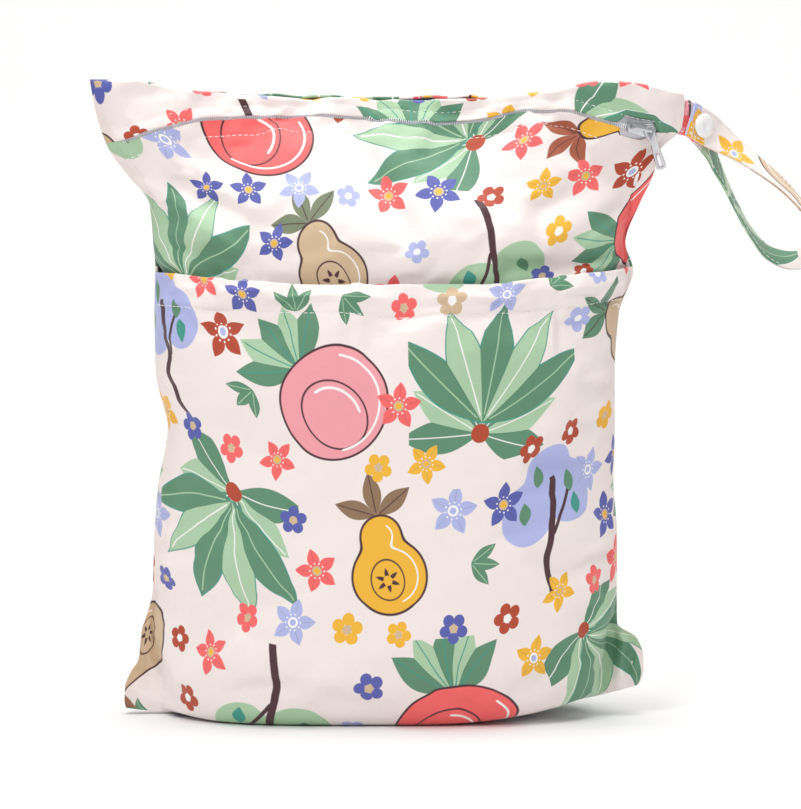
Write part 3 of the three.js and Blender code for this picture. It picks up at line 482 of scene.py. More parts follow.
def settle(points, across, level, cloth):
    """Moves points of a layer by the wrinkles that the settling left."""
    if SETTLED is None:
        return points
    levels, (front, back) = SETTLED
    grid = front if cloth["facing"] < 0 else back
    row = np.clip(np.interp(level, levels, np.arange(len(levels))), 0, len(levels) - 1.001)
    column = (np.arcsin(np.clip(across, -1, 1)) / (math.pi / 2) + 1) / 2 * SETTLE_COLUMNS
    column = np.clip(column, 0, SETTLE_COLUMNS - 0.001)
    r, c = row.astype(int), column.astype(int)
    fr, fc = (row - r)[..., None], (column - c)[..., None]
    move = ((grid[r, c] * (1 - fc) + grid[r, c + 1] * fc) * (1 - fr)
            + (grid[r + 1, c] * (1 - fc) + grid[r + 1, c + 1] * fc) * fr)
    if cloth["facing"] < 0:
        at_slider = np.hypot((across - SLIDER_ACROSS) * HALF_WIDTH, points[..., 2] - zip_height(across))
        move = move * smooth(8, 26, at_slider)[..., None]
    return points + move * smooth(2, 22, points[..., 2])[..., None]


SETTLED = settled()


# Meshes
def finish_mesh(piece, mesh, materials, body="bag", smooth_faces=True):
    """A piece from a mesh, with its materials, riding on a body."""
    for look in materials:
        mesh.materials.append(look)
    if smooth_faces:
        mesh.polygons.foreach_set("use_smooth", [True] * len(mesh.polygons))
    made = bpy.data.objects.new(piece, mesh)
    bpy.context.scene.collection.objects.link(made)
    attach(made, body)
    return made


def mesh_from(name, points, faces, flat=None, inside=None):
    mesh = bpy.data.meshes.new(name)
    mesh.from_pydata([tuple(p) for p in np.asarray(points) * MM], [], faces)
    if flat is not None:
        place = mesh.attributes.new("flat_mm", "FLOAT_VECTOR", "POINT")
        place.data.foreach_set("vector", np.asarray(flat, float).ravel())
    if inside is not None:
        mesh.polygons.foreach_set("material_index", inside)
    mesh.update()
    return mesh


def outward(mesh):
    """Turns a closed mesh so that its faces point outwards."""
    shape = bmesh.new()
    shape.from_mesh(mesh)
    bmesh.ops.remove_doubles(shape, verts=shape.verts, dist=1e-7)
    bmesh.ops.recalc_face_normals(shape, faces=shape.faces)
    if shape.calc_volume(signed=True) < 0:
        bmesh.ops.reverse_faces(shape, faces=shape.faces)
    shape.to_mesh(mesh)
    shape.free()
    return mesh


COLUMNS = 132
# Reach in millimetres of the painted shade and little dirt beside the side seams.
SEAM_SHADE_AND_DIRT_REACH = 10
ACROSS = np.sin((2 * np.arange(COLUMNS + 1) / COLUMNS - 1) * math.pi / 2)


def rows_between(lines, counts):
    """Rows of levels in even steps from each line to the next, for every column."""
    rows = [lines[0]]
    for low, high, count in zip(lines, lines[1:], counts):
        rows += [low + (high - low) * k / count for k in range(1, count + 1)]
    return np.array(rows)


def panel(name, cloth, levels, across=ACROSS, seam_bottom=False, close_top=False, forward=None,
          flat_from=(0, 0), round_top=0.0, round_bottom=0.0):
    """A closed cloth panel: outer face, inner face and rims, with each point's place on the flat cloth."""
    rows, columns = levels.shape
    wide = np.broadcast_to(across, (rows, columns))
    pushed = 0 if forward is None else forward(wide, levels)
    outer = cloth_at(wide, levels, cloth, True, forward=pushed)
    inner = cloth_at(wide, levels, cloth, False, forward=pushed)
    edge = np.zeros((rows, columns), bool)
    edge[:, [0, -1]] = abs(across[0]) == 1
    edge[0] |= seam_bottom
    edge[-1] |= close_top
    sway = sway_of(wide, outer[..., 2]) - row_at(levels)["floor"] * SEAM_FORWARD
    for grid in (outer, inner):
        grid[..., 1] = np.where(edge, sway + cloth["facing"] * PLAY / 2, grid[..., 1])
    if close_top:
        inner[-1, :, 2] -= cloth["wall"]

    # Length along the cloth, from the middle across and from the lowest row up.
    step_across = np.linalg.norm(np.diff(outer, axis=1), axis=2)
    run = np.concatenate([np.zeros((rows, 1)), np.cumsum(step_across, 1)], 1)
    run = run - run[:, columns // 2:columns // 2 + 1]
    flat_x = np.where(run > 0, run / run[:, -1:] * across[-1], run / run[:, :1] * across[0]) * HALF_WIDTH
    step_up = np.linalg.norm(np.diff(outer, axis=0), axis=2)
    rise = np.concatenate([np.zeros((1, columns)), np.cumsum(step_up, 0)], 0)
    rise = rise + (rise[-1].mean() - rise[-1:]) * 0.5
    # Closeness to the side seams, kept as the third value of flat_mm, where the shader paints shade and a
    # little dirt.
    seam_shade_and_dirt = np.maximum(0, 1 - (1 - np.abs(wide)) * HALF_WIDTH / SEAM_SHADE_AND_DIRT_REACH)
    flat = np.stack([flat_x + flat_from[0], rise + flat_from[1], seam_shade_and_dirt], -1)
    flat[..., :2] = blurred(flat[..., :2], 5, min(5, (rows - 2) / 3.1))

    rings = [outer.reshape(-1, 3), inner.reshape(-1, 3)]
    flats = [flat.reshape(-1, 3)] * 2
    index = np.arange(rows * columns).reshape(rows, columns)
    quads = grid_quads(index)
    faces = [quads, quads[:, ::-1] + index.size]

    def close(line, bulge, flip):
        """Closes the gap between the faces along a line of the grid, with a rounded fold where it bulges."""
        start, end = outer[line], inner[line]
        strips = [index[line]]
        for turn in (0.2, 0.5, 0.8) if bulge else ():
            first = sum(map(len, rings))
            point = start + (end - start) * (0.5 - 0.5 * math.cos(turn * math.pi))
            rings.append(point + np.array([0, 0, bulge * math.sin(turn * math.pi)]))
            flats.append(flat[line])
            strips.append(np.arange(first, first + len(point)))
        strips.append(index[line] + index.size)
        for low, high in zip(strips, strips[1:]):
            face = np.stack([low[:-1], high[:-1], high[1:], low[1:]], -1)
            faces.append(face[:, ::-1] if flip else face)

    close(0, -round_bottom, False)
    close(-1, round_top, True)
    close((slice(None), 0), 0, True)
    close((slice(None), -1), 0, False)
    faces = np.concatenate(faces)
    inside = np.zeros(len(faces), np.int32)
    inside[len(quads):2 * len(quads)] = 1
    return outward(mesh_from(name, np.concatenate(rings), faces.tolist(), np.concatenate(flats), inside))


# Shader writing
def math_node(operation, swapped=False):
    """A method that adds one Math node on its terms, in reverse for a reflected operator."""
    def method(self, *others):
        terms = (*others, self) if swapped else (self, *others)
        return self.look.node("ShaderNodeMath", {"operation": operation}, *terms)
    return method


class Value:
    """A node's output whose arithmetic adds Math nodes."""

    def __init__(self, look, socket):
        self.look = look
        self.socket = socket

    __add__ = __radd__ = math_node("ADD")
    __sub__ = math_node("SUBTRACT")
    __rsub__ = math_node("SUBTRACT", swapped=True)
    __mul__ = __rmul__ = math_node("MULTIPLY")
    __truediv__ = math_node("DIVIDE")
    __rtruediv__ = math_node("DIVIDE", swapped=True)
    __mod__ = math_node("FLOORED_MODULO")
    __pow__ = math_node("POWER")
    __abs__ = math_node("ABSOLUTE")
    __gt__ = math_node("GREATER_THAN")
    __lt__ = math_node("LESS_THAN")
    sin = math_node("SINE")
    cos = math_node("COSINE")
    floor = math_node("FLOOR")
    round = math_node("ROUND")
    least = math_node("MINIMUM")
    most = math_node("MAXIMUM")
    angle = math_node("ARCTAN2")
    merged = math_node("SMOOTH_MIN")

    def clamped(self):
        return self.look.node("ShaderNodeMath", {"operation": "ADD", "use_clamp": True}, self, 0)


class Look:
    """A material under construction."""

    def __init__(self, name):
        self.material = bpy.data.materials.new(name)
        self.material.use_nodes = True
        self.tree = self.material.node_tree
        self.tree.nodes.clear()
        self.shader = self.tree.nodes.new("ShaderNodeBsdfPrincipled")
        output = self.tree.nodes.new("ShaderNodeOutputMaterial")
        self.tree.links.new(self.shader.outputs[0], output.inputs[0])

    def node(self, kind, settings=None, *terms, out=0, **named):
        """Adds a node: settings first, then its sockets by order or by name. Returns one of its outputs."""
        made = self.tree.nodes.new(kind)
        for key, value in (settings or {}).items():
            setattr(made, key, value)
        for key, value in list(enumerate(terms)) + [(k.replace("_", " "), v) for k, v in named.items()]:
            self.feed(made.inputs[key], value)
        return Value(self, made.outputs[out])

    def feed(self, socket, value):
        if isinstance(value, Value):
            self.tree.links.new(value.socket, socket)
        else:
            socket.default_value = value

    def mix(self, share, low, high, blend="MIX"):
        made = self.tree.nodes.new("ShaderNodeMix")
        made.data_type = "RGBA"
        made.blend_type = blend
        self.feed(made.inputs[0], share)
        self.feed(made.inputs[6], low)
        self.feed(made.inputs[7], high)
        return Value(self, made.outputs[2])

    def split(self, vector):
        made = self.tree.nodes.new("ShaderNodeSeparateXYZ")
        self.feed(made.inputs[0], vector)
        return [Value(self, made.outputs[k]) for k in range(3)]

    def join(self, x, y, z=0.0):
        return self.node("ShaderNodeCombineXYZ", None, x, y, z)

    def steps(self, share, stops):
        """One plain colour after another as a share grows."""
        made = self.tree.nodes.new("ShaderNodeValToRGB")
        made.color_ramp.interpolation = "CONSTANT"
        elements = made.color_ramp.elements
        while len(elements) < len(stops):
            elements.new(1.0)
        for element, (place, colour) in zip(elements, stops):
            element.position = place
            element.color = colour
        self.feed(made.inputs[0], share)
        return Value(self, made.outputs[0])

    def place(self):
        return self.node("ShaderNodeTexCoord", out=3)

    def noise(self, vector, scale, detail=2.0, roughness=0.5):
        return self.node("ShaderNodeTexNoise", None, Vector=vector, Scale=scale, Detail=detail,
                         Roughness=roughness)

    def bump(self, height, strength, distance, normal=None):
        named = {"Normal": normal} if normal else {}
        return self.node("ShaderNodeBump", None, Strength=strength, Distance=distance, Height=height, **named)

    def set(self, **named):
        for key, value in named.items():
            self.feed(self.shader.inputs[key.replace("_", " ")], value)
        return self.material


def tint(code):
    """A screen colour such as fc6b6b as the linear colour that shaders use."""
    parts = [int(code[k:k + 2], 16) / 255 for k in (0, 2, 4)]
    return tuple(c / 12.92 if c <= 0.04045 else ((c + 0.055) / 1.055) ** 2.4 for c in parts) + (1.0,)


GROUND, OUTLINE, WHITE = tint("f9f1ef"), tint("4e2d35"), tint("ffffff")
CORAL, ROSE, GOLD, RUST = tint("fb6c6c"), tint("f7a6b0"), tint("f8bf3a"), tint("b8492c")
SAGE, MINT, TEAL = tint("5f9274"), tint("b0d4b0"), tint("3f9d8f")
LAVENDER, INDIGO, SAND = tint("b5bff0"), tint("5a63b4"), tint("d8bf9d")
INK_EDGE = 3.2


def length(x, y):
    return (x * x + y * y) ** 0.5


def spoke(dx, dy, step, side=None):
    """Where a point lies against the nearest spoke around a middle: aside, along and which spoke."""
    turn = dx.angle(dy)
    which = (turn / step).round()
    if side is not None:
        which = which.least(side).most(-side)
    own = turn - which * step
    radius = length(dx, dy)
    return radius * own.sin(), radius * own.cos(), which


class Motif:
    """Printed shapes on one patch of cloth, with the paint laid over what is there."""

    def __init__(self, look, x, y, paint):
        self.look, self.x, self.y, self.paint = look, x, y, paint

    def inked(self, away):
        """1 inside a shape, 0 outside, with a soft edge of a few tenths of a millimetre."""
        return (0.5 - away * INK_EDGE).clamped()

    def lay(self, away, colour, only=None):
        mask = self.inked(away)
        if only is not None:
            mask = mask * only
        self.paint = self.look.mix(mask, self.paint, colour)

    def disc(self, cx, cy, radius, squash=1.0):
        return length(self.x - cx, (self.y - cy) * squash) - radius

    def fan(self, cx, cy, side, step, reach, wide):
        """Pointed leaves in a fan: distance, distance from the midrib, and the leaf's number."""
        aside, along, leaf = spoke(self.x - cx, self.y - cy, step, side)
        rib = abs(aside)
        share = (along / reach).clamped()
        return (rib - wide * (share * math.pi).sin()).most(along - reach).most(0.3 - along), rib, leaf


def print_paint(look, flat):
    """The cloth's print: fruit, leaf fans, small trees and flowers on a pale ground, in millimetres."""
    x, y, _ = look.split(flat)
    rows_high, cell_wide, lean, great = 84.0, 90.0, 0.37, 1.3
    small, small_lean, shift_x, shift_y = 27.0, 0.5, 7, 5

    def patch(px, py, wide, high, shift, seed):
        """The patch of cloth that a point lies in, and three random shares of its own."""
        row = (py / high).floor()
        column = (px / wide + row * shift).floor()
        chance = look.node("ShaderNodeTexWhiteNoise", {"noise_dimensions": "3D"}, look.join(column, row, seed),
                           out=1)
        return row, column, look.split(chance)

    def centre(row, column, wide, high, shift):
        return (column + 0.5 - row * shift) * wide, (row + 0.5) * high

    def turned(dx, dy, turn):
        return dx * turn.cos() + dy * turn.sin(), dy * turn.cos() - dx * turn.sin()

    row, column, (luck, spin, tone) = patch(x, y, cell_wide, rows_high, lean, 4.0)
    mid_x, mid_y = centre(row, column, cell_wide, rows_high, lean)
    dx, dy = turned(x - mid_x - (luck - 0.5) * 5, y - mid_y - (tone - 0.5) * 5,
                    spin * 2.2 - 1.1 + (luck > 0.55) * 2.7)
    dx, dy = dx / great, dy / great
    kind = (column + row * 2) % 4

    # Round fruit with a crown of leaves.
    fruit = Motif(look, dx, dy, GROUND)
    leaf, rib, number = fruit.fan(0, 10, 2, 0.46, 26, 5.4)
    fruit.lay(leaf, look.mix(number % 2, SAGE, MINT))
    fruit.lay((rib - 0.22).most(leaf + 1.2), TEAL)
    body = fruit.disc(0, -8, 22, 1.06)
    fruit.lay(body - 0.45, OUTLINE)
    fruit.lay(body + 0.45, look.mix(tone > 0.45, ROSE, CORAL))
    fruit.lay(abs(fruit.disc(-3, -11, 12, 0.86)) - 0.34, OUTLINE)
    fruit.lay(abs(fruit.disc(-3, -11, 9.4, 0.86)) - 0.5 + ((dx + dy * 0.4 + 2) * -0.8).most(0), WHITE)
    fruit.lay(abs(fruit.disc(0, -8, 18.6, 1.06)) - 0.45 + ((dx - dy - 12) * -0.5).most(0), WHITE)

    # A spray of broad leaves.
    spray = Motif(look, dx, dy, GROUND)
    low_leaf, low_rib, low_number = spray.fan(0, -20, 3, 0.6, 32, 6.4)
    spray.lay(low_leaf, look.mix(low_number % 2, MINT, SAGE))
    spray.lay((low_rib - 0.2).most(low_leaf + 1), WHITE)
    high_leaf, high_rib, high_number = spray.fan(0, -16, 2, 0.5, 46, 7.2)
    spray.lay(high_leaf - 0.3, TEAL)
    spray.lay(high_leaf + 0.2, look.mix(abs(high_number) % 2, SAGE, MINT))
    spray.lay((high_rib - 0.25).most(high_leaf + 1.4), look.mix(abs(high_number) % 2, MINT, WHITE))
    spray.lay(spray.disc(0, -20, 3.6), RUST)

    # A pear with pips and a leaf.
    pear = Motif(look, dx, dy, GROUND)
    stalk_leaf, stalk_rib, _ = pear.fan(0, 17, 1, 1.1, 17, 3.6)
    pear.lay(stalk_leaf, look.mix(luck, SAGE, RUST))
    pear.lay((stalk_rib - 0.2).most(stalk_leaf + 0.8), OUTLINE)
    flesh = pear.disc(0, -7, 14.5).merged(pear.disc(0, 9, 8), 6.0)
    pear.lay(flesh - 0.45, OUTLINE)
    pear.lay(flesh + 0.45, look.mix(tone > 0.72, GOLD, SAND))
    pear.lay(abs(flesh + 3.6) - 0.3 + ((dx - 3) * -0.7).most(0), WHITE)
    heart = pear.disc(-1, -8, 6.4, 0.8)
    pear.lay(abs(heart) - 0.28, OUTLINE)
    pip, _, _ = pear.fan(-1, -8, 3, 1.05, 5.0, 0.8)
    pear.lay(pip.most(3.0 - (dx + 1) * (dx + 1) - (dy + 8) * (dy + 8) * 0.8), OUTLINE)

    # A little tree with leaves in its crown.
    tree = Motif(look, dx, dy, GROUND)
    crown = tree.disc(-10, 6, 12).merged(tree.disc(10, 8, 12), 3.0).merged(tree.disc(0, 17, 12), 3.0)
    tree.lay(crown, look.mix(luck > 0.5, LAVENDER, MINT))
    trunk = abs(dx - (dy * 0.11).sin() * 1.6) - 1.5
    branch = abs(dx - (dy + 6) * 0.62) - 0.9
    tree.lay(trunk.most((dy - 16).most(-30 - dy)), OUTLINE)
    tree.lay(branch.most((dy - 9).most(-6 - dy)), OUTLINE)
    for at_x, at_y, colour in ((-11, 7, SAGE), (11, 12, SAGE), (-4, 19, SAGE), (13, 3, TEAL)):
        blade, _, _ = tree.fan(at_x - 1, at_y - 5, 0, 1.0, 9, 2.6)
        tree.lay(blade, colour)

    paint = look.mix(kind > 0.5, fruit.paint, spray.paint)
    paint = look.mix(kind > 1.5, paint, pear.paint)
    paint = look.mix(kind > 2.5, paint, tree.paint)

    # Flowers, in patches of their own, only where no large motif stands.
    row, column, (luck, spin, tone) = patch(x + shift_x, y + shift_y, small, small, small_lean, 9.0)
    bloom_x, bloom_y = centre(row, column, small, small, small_lean)
    bloom_x, bloom_y = bloom_x - shift_x + (spin - 0.5) * 6, bloom_y - shift_y + (luck - 0.5) * 6
    great_row = (bloom_y / rows_high).floor()
    great_column = (bloom_x / cell_wide + great_row * lean).floor()
    great_x, great_y = centre(great_row, great_column, cell_wide, rows_high, lean)
    narrow = ((great_column + great_row * 2) % 4) > 1.5
    free = length(bloom_x - great_x, bloom_y - great_y) > 41 - narrow * 9
    dx, dy = turned(x - bloom_x, y - bloom_y, spin * 6.2)
    flower = Motif(look, dx, dy, paint)
    colours = look.steps(tone, ((0, CORAL), (0.2, INDIGO), (0.38, GOLD), (0.54, RUST), (0.7, LAVENDER),
                                (0.84, SAND)))
    size = 0.72 + luck * 0.42
    reach = size * 11.4
    aside, along, _ = spoke(dx, dy, 2 * math.pi / 5)
    pointed = (abs(aside) - size * 3.1 * ((along / reach).clamped() * math.pi).sin()).most(along - reach)
    rounded = length(aside, along - size * 5.4) - size * 3.4
    pick = luck > 0.42
    petals = pointed * pick + rounded * (1 - pick)
    sprig_leaf, sprig_rib, _ = flower.fan(0, -7, 1, 0.72, 15, 2.9)
    sprig = free * (tone > 0.88)
    flower.lay(sprig_leaf, SAGE, sprig)
    flower.lay((sprig_rib - 0.2).most(sprig_leaf + 0.8), MINT, sprig)
    free = free * (tone < 0.88)
    flower.lay(petals, colours, free)
    flower.lay((abs(aside) - 0.16).most(petals + 1.1), look.mix(0.3, colours, OUTLINE), free * pick)
    bead_x, bead_y, _ = spoke(dx, dy, 2 * math.pi / 10)
    flower.lay(length(bead_x, bead_y - size * 3.7) - size * 0.42, WHITE, free * pick)
    radius = length(dx, dy)
    flower.lay(radius - size * 2.5, look.mix(tone > 0.5, SAND, WHITE), free)
    flower.lay(radius - size * 1.5, look.mix(tone > 0.5, GOLD, LAVENDER), free * pick)
    return flower.paint


def printed_cloth(name):
    """Smooth printed knit with a soft sheen, faint handling marks, and painted shade with a little dirt
    darkening it near the side seams.
    """
    look = Look(name)
    flat = look.node("ShaderNodeAttribute", {"attribute_name": "flat_mm"}, out=1)
    x, y, seam_shade_and_dirt = look.split(flat)
    place = look.place()
    cloudy = look.noise(place, 14.0, 3.0, 0.55)
    paint = look.mix(0.12 + cloudy * 0.16, print_paint(look, flat), tint("f3dfd4"), "MULTIPLY")
    # Painted shade with a little dirt: the print is multiplied towards a grey-brown within a few millimetres of
    # the side seams.
    paint = look.mix((seam_shade_and_dirt * 0.22).clamped(), paint, tint("cdb5a8"), "MULTIPLY")
    knit = (x * 6.9).sin() * (y * 8.4).sin()
    crumpled = look.bump(look.noise(place, 42.0, 4.0, 0.6), 0.32, 0.004)
    bump = look.bump(knit * 0.5 + look.noise(place, 900.0, 2.0, 0.6), 0.16, 0.00025, crumpled)
    return look.set(Base_Color=paint, Roughness=0.5 + cloudy * 0.16, Normal=bump, Sheen_Weight=0.22,
                    Sheen_Roughness=0.45, Specular_IOR_Level=0.42)


def mottled(name, scale, detail, soft, low, high, rough, more, grain, **constants):
    """A material that drifts between two shades and from smooth to rougher, with a grain of its own."""
    look = Look(name)
    place = look.place()
    cloudy = look.noise(place, scale, detail, soft)
    if grain:
        constants["Normal"] = grain(look, place, cloudy)
    return look.set(Base_Color=look.mix(cloudy, tint(low), tint(high)), Roughness=rough + cloudy * more,
                    **constants)


def twill(look, place, cloudy):
    x, _, z = look.split(place)
    lines = (x * 9000.0 + z * 9000.0).sin() * 0.5 + (x * 5200.0 - z * 5200.0).sin() * 0.5
    return look.bump(lines, 0.3, 0.0002)


def twist(look, place, cloudy):
    x, y, z = look.split(place)
    return look.bump(((x + y * 0.6 + z) * 15000.0).sin(), 0.35, 0.0001)


def rubbed(look, place, cloudy):
    return look.bump(look.noise(place, 1400.0), 0.05, 0.0001)


def wrinkled(look, place, cloudy):
    return look.bump(cloudy, 0.25, 0.0006)


def cast(look, place, cloudy):
    return look.bump(cloudy, 0.06, 0.0002)


def nickel(name, bright):
    """Nickel plating, faintly smudged and rubbed."""
    return mottled(name, 240.0, 4.0, 0.6, "c3c5cb", bright, 0.12, 0.16, rubbed, Metallic=1.0)


CLOTH = printed_cloth("printed_cloth")
FILM = mottled("waterproof_back", 60.0, 3.0, 0.5, "f4efec", "fdfbfa", 0.36, 0.12, wrinkled,
               Specular_IOR_Level=0.5)
TAPE_CLOTH = mottled("zip_tape_twill", 80.0, 2.0, 0.5, "e6e4ec", "f6f5f9", 0.72, 0.12, twill)
COIL_NYLON = mottled("zip_coil_nylon", 260.0, 3.0, 0.5, "e9e6f0", "fbfafd", 0.3, 0.14, None,
                     Subsurface_Weight=0.08, Subsurface_Scale=0.001)
THREAD = mottled("white_thread", 1500.0, 2.0, 0.5, "f4f1f2", "ffffff", 0.6, 0.15, twist)
SLIDER_NICKEL = nickel("slider_nickel", "e6e8ec")
PULL_NICKEL = nickel("pull_nickel", "f0f1f4")
SNAP_PLASTIC = mottled("snap_plastic", 300.0, 3.0, 0.5, "f6f5f5", "fefefe", 0.22, 0.1, cast,
                       Subsurface_Weight=0.1, Subsurface_Scale=0.0015, Coat_Weight=0.25, Coat_Roughness=0.12)


# Cloth panels
def level_line(line, by=0):
    return level_of(line(ACROSS) + by)


def constant(level):
    return np.full(COLUMNS + 1, float(level))


def slit_low(across):
    return zip_height(across) - slit_half(across)


def slit_high(across):
    """The strip's folded edge, which hangs over the coil except at the slider."""
    near = np.abs(across - SLIDER_ACROSS) * HALF_WIDTH
    bulge = smooth(SLIDER_LENGTH / 2 + 7, SLIDER_LENGTH / 2 + 2, near)
    hang = -0.1 * smooth(0.97, 0.9, np.abs(across))
    return zip_height(across) + hang + (slit_half(across) - hang) * bulge


def cloth_piece(name, cloth, levels, looks=(CLOTH, FILM), **given):
    return finish_mesh(name, panel(name, cloth, levels, **given), looks)


def tape_piece(name, cloth, levels, reach):
    """A zip tape, which ends short of the seams."""
    kept = np.abs(ACROSS) < reach
    return cloth_piece(name, cloth, levels[:, kept], (TAPE_CLOTH, TAPE_CLOTH), across=ACROSS[kept])


tape_top = np.minimum(zip_height(ACROSS) + TAPE_HEIGHT / 2, top_height(ACROSS) - 4)
base_lines = [constant(k) for k in (0, 1, 2, 3, 4, 5, LEVEL_FROM)]
base_counts = [8, 8, 9, 10, 10, 12]

back_levels = rows_between(
    base_lines + [level_line(zip_height, -TAPE_HEIGHT / 2), level_line(slit_low), level_of(tape_top),
                  level_line(top_height, -1.3), level_line(top_height)],
    base_counts + [96, 4, 7, 4, 2])
back = cloth_piece("back_cloth", BACK, back_levels, seam_bottom=True, close_top=True, flat_from=(41, 17))
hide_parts("back_panel")

front_levels = rows_between(
    base_lines + [level_line(pocket_height, -HEM_HEIGHT - 10), level_line(pocket_height, -HEM_HEIGHT),
                  level_line(pocket_height, 9), level_line(zip_height, -TAPE_HEIGHT / 2),
                  level_line(slit_low)],
    [4, 4, 5, 5, 5, 6, 30, 6, 16, 54, 8])
front = cloth_piece("front_cloth", FRONT, front_levels, seam_bottom=True, round_top=0.5, flat_from=(-23, 31))
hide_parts("front_panel")

pocket_levels = rows_between(
    base_lines + [level_line(pocket_height, -HEM_HEIGHT - 10), level_line(pocket_height, -HEM_HEIGHT - 1.5),
                  level_line(pocket_height, -HEM_HEIGHT), level_line(pocket_height)],
    base_counts + [78, 12, 3, 14])
pocket = cloth_piece("pocket_cloth", POCKET, pocket_levels, seam_bottom=True, round_top=0.9, flat_from=(12, 0))
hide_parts("pocket_panel")


def over_coil(across, level):
    """The strip's lower edge stands a little forward over the coil."""
    height = through(ROW_PLACES, ROWS[:, 0], level) * HEIGHT - zip_height(across)
    return 0.9 * smooth(6, 0, height) * smooth(1, 0.94, np.abs(across))


strip_levels = rows_between([level_line(slit_high), level_of(tape_top), level_line(top_height, -1.3),
                             level_line(top_height)], [14, 5, 2])
strip = cloth_piece("strip_cloth", STRIP, strip_levels, close_top=True, forward=over_coil, round_bottom=0.6,
                    flat_from=(30, 66))
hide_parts("top_strip")

tape = tape_piece("zip_tape", TAPE, rows_between([
    level_line(zip_height, -TAPE_HEIGHT / 2), level_line(zip_height), level_of(tape_top)], [8, 8]), TAPE_REACH)
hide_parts("top_zip_tape")
hidden = tape_piece("pocket_zip_tape", POCKET_TAPE, rows_between([
    level_line(pocket_height, -HEM_HEIGHT), level_line(pocket_height, -1)], [10]), POCKET_TAPE_REACH)
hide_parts("pocket_zip")


# Repeats along a path
def times(add, first, second):
    return add("ShaderNodeMath", {"operation": "MULTIPLY"}, _0=first, _1=second).outputs[0]


def repeat_tree(name, build_piece):
    """A Geometry Nodes tree that sets a small piece at every step of a path and aims it along the cloth."""
    tree = bpy.data.node_groups.new(name, "GeometryNodeTree")
    for key, kind in (("Path", "Geometry"), ("Step", "Float"), ("Length", "Float"), ("Thickness", "Float"),
                      ("Unevenness", "Float"), ("Material", "Material")):
        tree.interface.new_socket(key, in_out="INPUT", socket_type="NodeSocket" + kind)
    tree.interface.new_socket("Repeats", in_out="OUTPUT", socket_type="NodeSocketGeometry")

    def add(kind, settings=None, **links):
        made = tree.nodes.new(kind)
        for key, value in (settings or {}).items():
            setattr(made, key, value)
        for key, value in links.items():
            socket = made.inputs[int(key[1:]) if key[0] == "_" else key.replace("_", " ")]
            if isinstance(value, bpy.types.NodeSocket):
                tree.links.new(value, socket)
            else:
                socket.default_value = value
        return made

    given = tree.nodes.new("NodeGroupInput").outputs
    result = tree.nodes.new("NodeGroupOutput")
    curve = add("GeometryNodeMeshToCurve", Mesh=given["Path"])
    spaced = add("GeometryNodeResampleCurve", {"mode": "LENGTH"}, Curve=curve.outputs[0], Length=given["Step"])
    tangent = add("GeometryNodeInputTangent")
    out = add("GeometryNodeInputNamedAttribute", {"data_type": "FLOAT_VECTOR"}, Name="out")
    aimed = add("FunctionNodeAlignRotationToVector", {"axis": "X"}, Vector=tangent.outputs[0])
    stood = add("FunctionNodeAlignRotationToVector", {"axis": "Z", "pivot_axis": "X"},
                Rotation=aimed.outputs[0], Vector=out.outputs[0])
    loose = add("FunctionNodeRandomValue", {"data_type": "FLOAT"}, _2=-1.0, _3=1.0, Seed=7)
    yaw = add("ShaderNodeCombineXYZ", Z=times(add, loose.outputs[1], given["Unevenness"]))
    turned = add("FunctionNodeRotateRotation", {"rotation_space": "LOCAL"}, Rotation=stood.outputs[0],
                 Rotate_By=yaw.outputs[0])
    piece = build_piece(add, given)
    placed = add("GeometryNodeInstanceOnPoints", Points=spaced.outputs[0], Instance=piece,
                 Rotation=turned.outputs[0])
    real = add("GeometryNodeRealizeInstances", Geometry=placed.outputs[0])
    dressed = add("GeometryNodeSetMaterial", Geometry=real.outputs[0], Material=given["Material"])
    shaded = add("GeometryNodeSetShadeSmooth", Geometry=dressed.outputs[0])
    tree.links.new(shaded.outputs[0], result.inputs[0])
    return tree


def stitch_piece(add, given):
    """One stitch: a thread bead drawn down at both ends."""
    bead = add("GeometryNodeMeshUVSphere", Segments=8, Rings=6, Radius=1.0)
    thin = times(add, given["Thickness"], 0.5)
    size = add("ShaderNodeCombineXYZ", X=times(add, given["Length"], 0.5), Y=thin, Z=thin)
    return add("GeometryNodeTransform", Geometry=bead.outputs[0], Scale=size.outputs[0]).outputs[0]


def coil_piece(add, given):
    """One turn of the coil: a flat ring of nylon across the slit, lying along the cloth's upward way."""
    ring = add("GeometryNodeCurvePrimitiveCircle", {"mode": "RADIUS"}, Resolution=10, Radius=1.0)
    size = add("ShaderNodeCombineXYZ", X=times(add, given["Thickness"], 0.9),
               Y=times(add, given["Length"], 0.5), Z=1.0)
    sized = add("GeometryNodeTransform", Geometry=ring.outputs[0], Rotation=(0.0, math.radians(72), 0.0),
                Scale=size.outputs[0])
    wire = add("GeometryNodeCurvePrimitiveCircle", {"mode": "RADIUS"}, Resolution=5,
               Radius=times(add, given["Thickness"], 0.34))
    return add("GeometryNodeCurveToMesh", Curve=sized.outputs[0], Profile_Curve=wire.outputs[0]).outputs[0]


STITCH_TREE = repeat_tree("stitch_row", stitch_piece)
COIL_TREE = repeat_tree("zip_coil_row", coil_piece)
PATH_POINTS = 260
THREAD_LIFT = 0.02


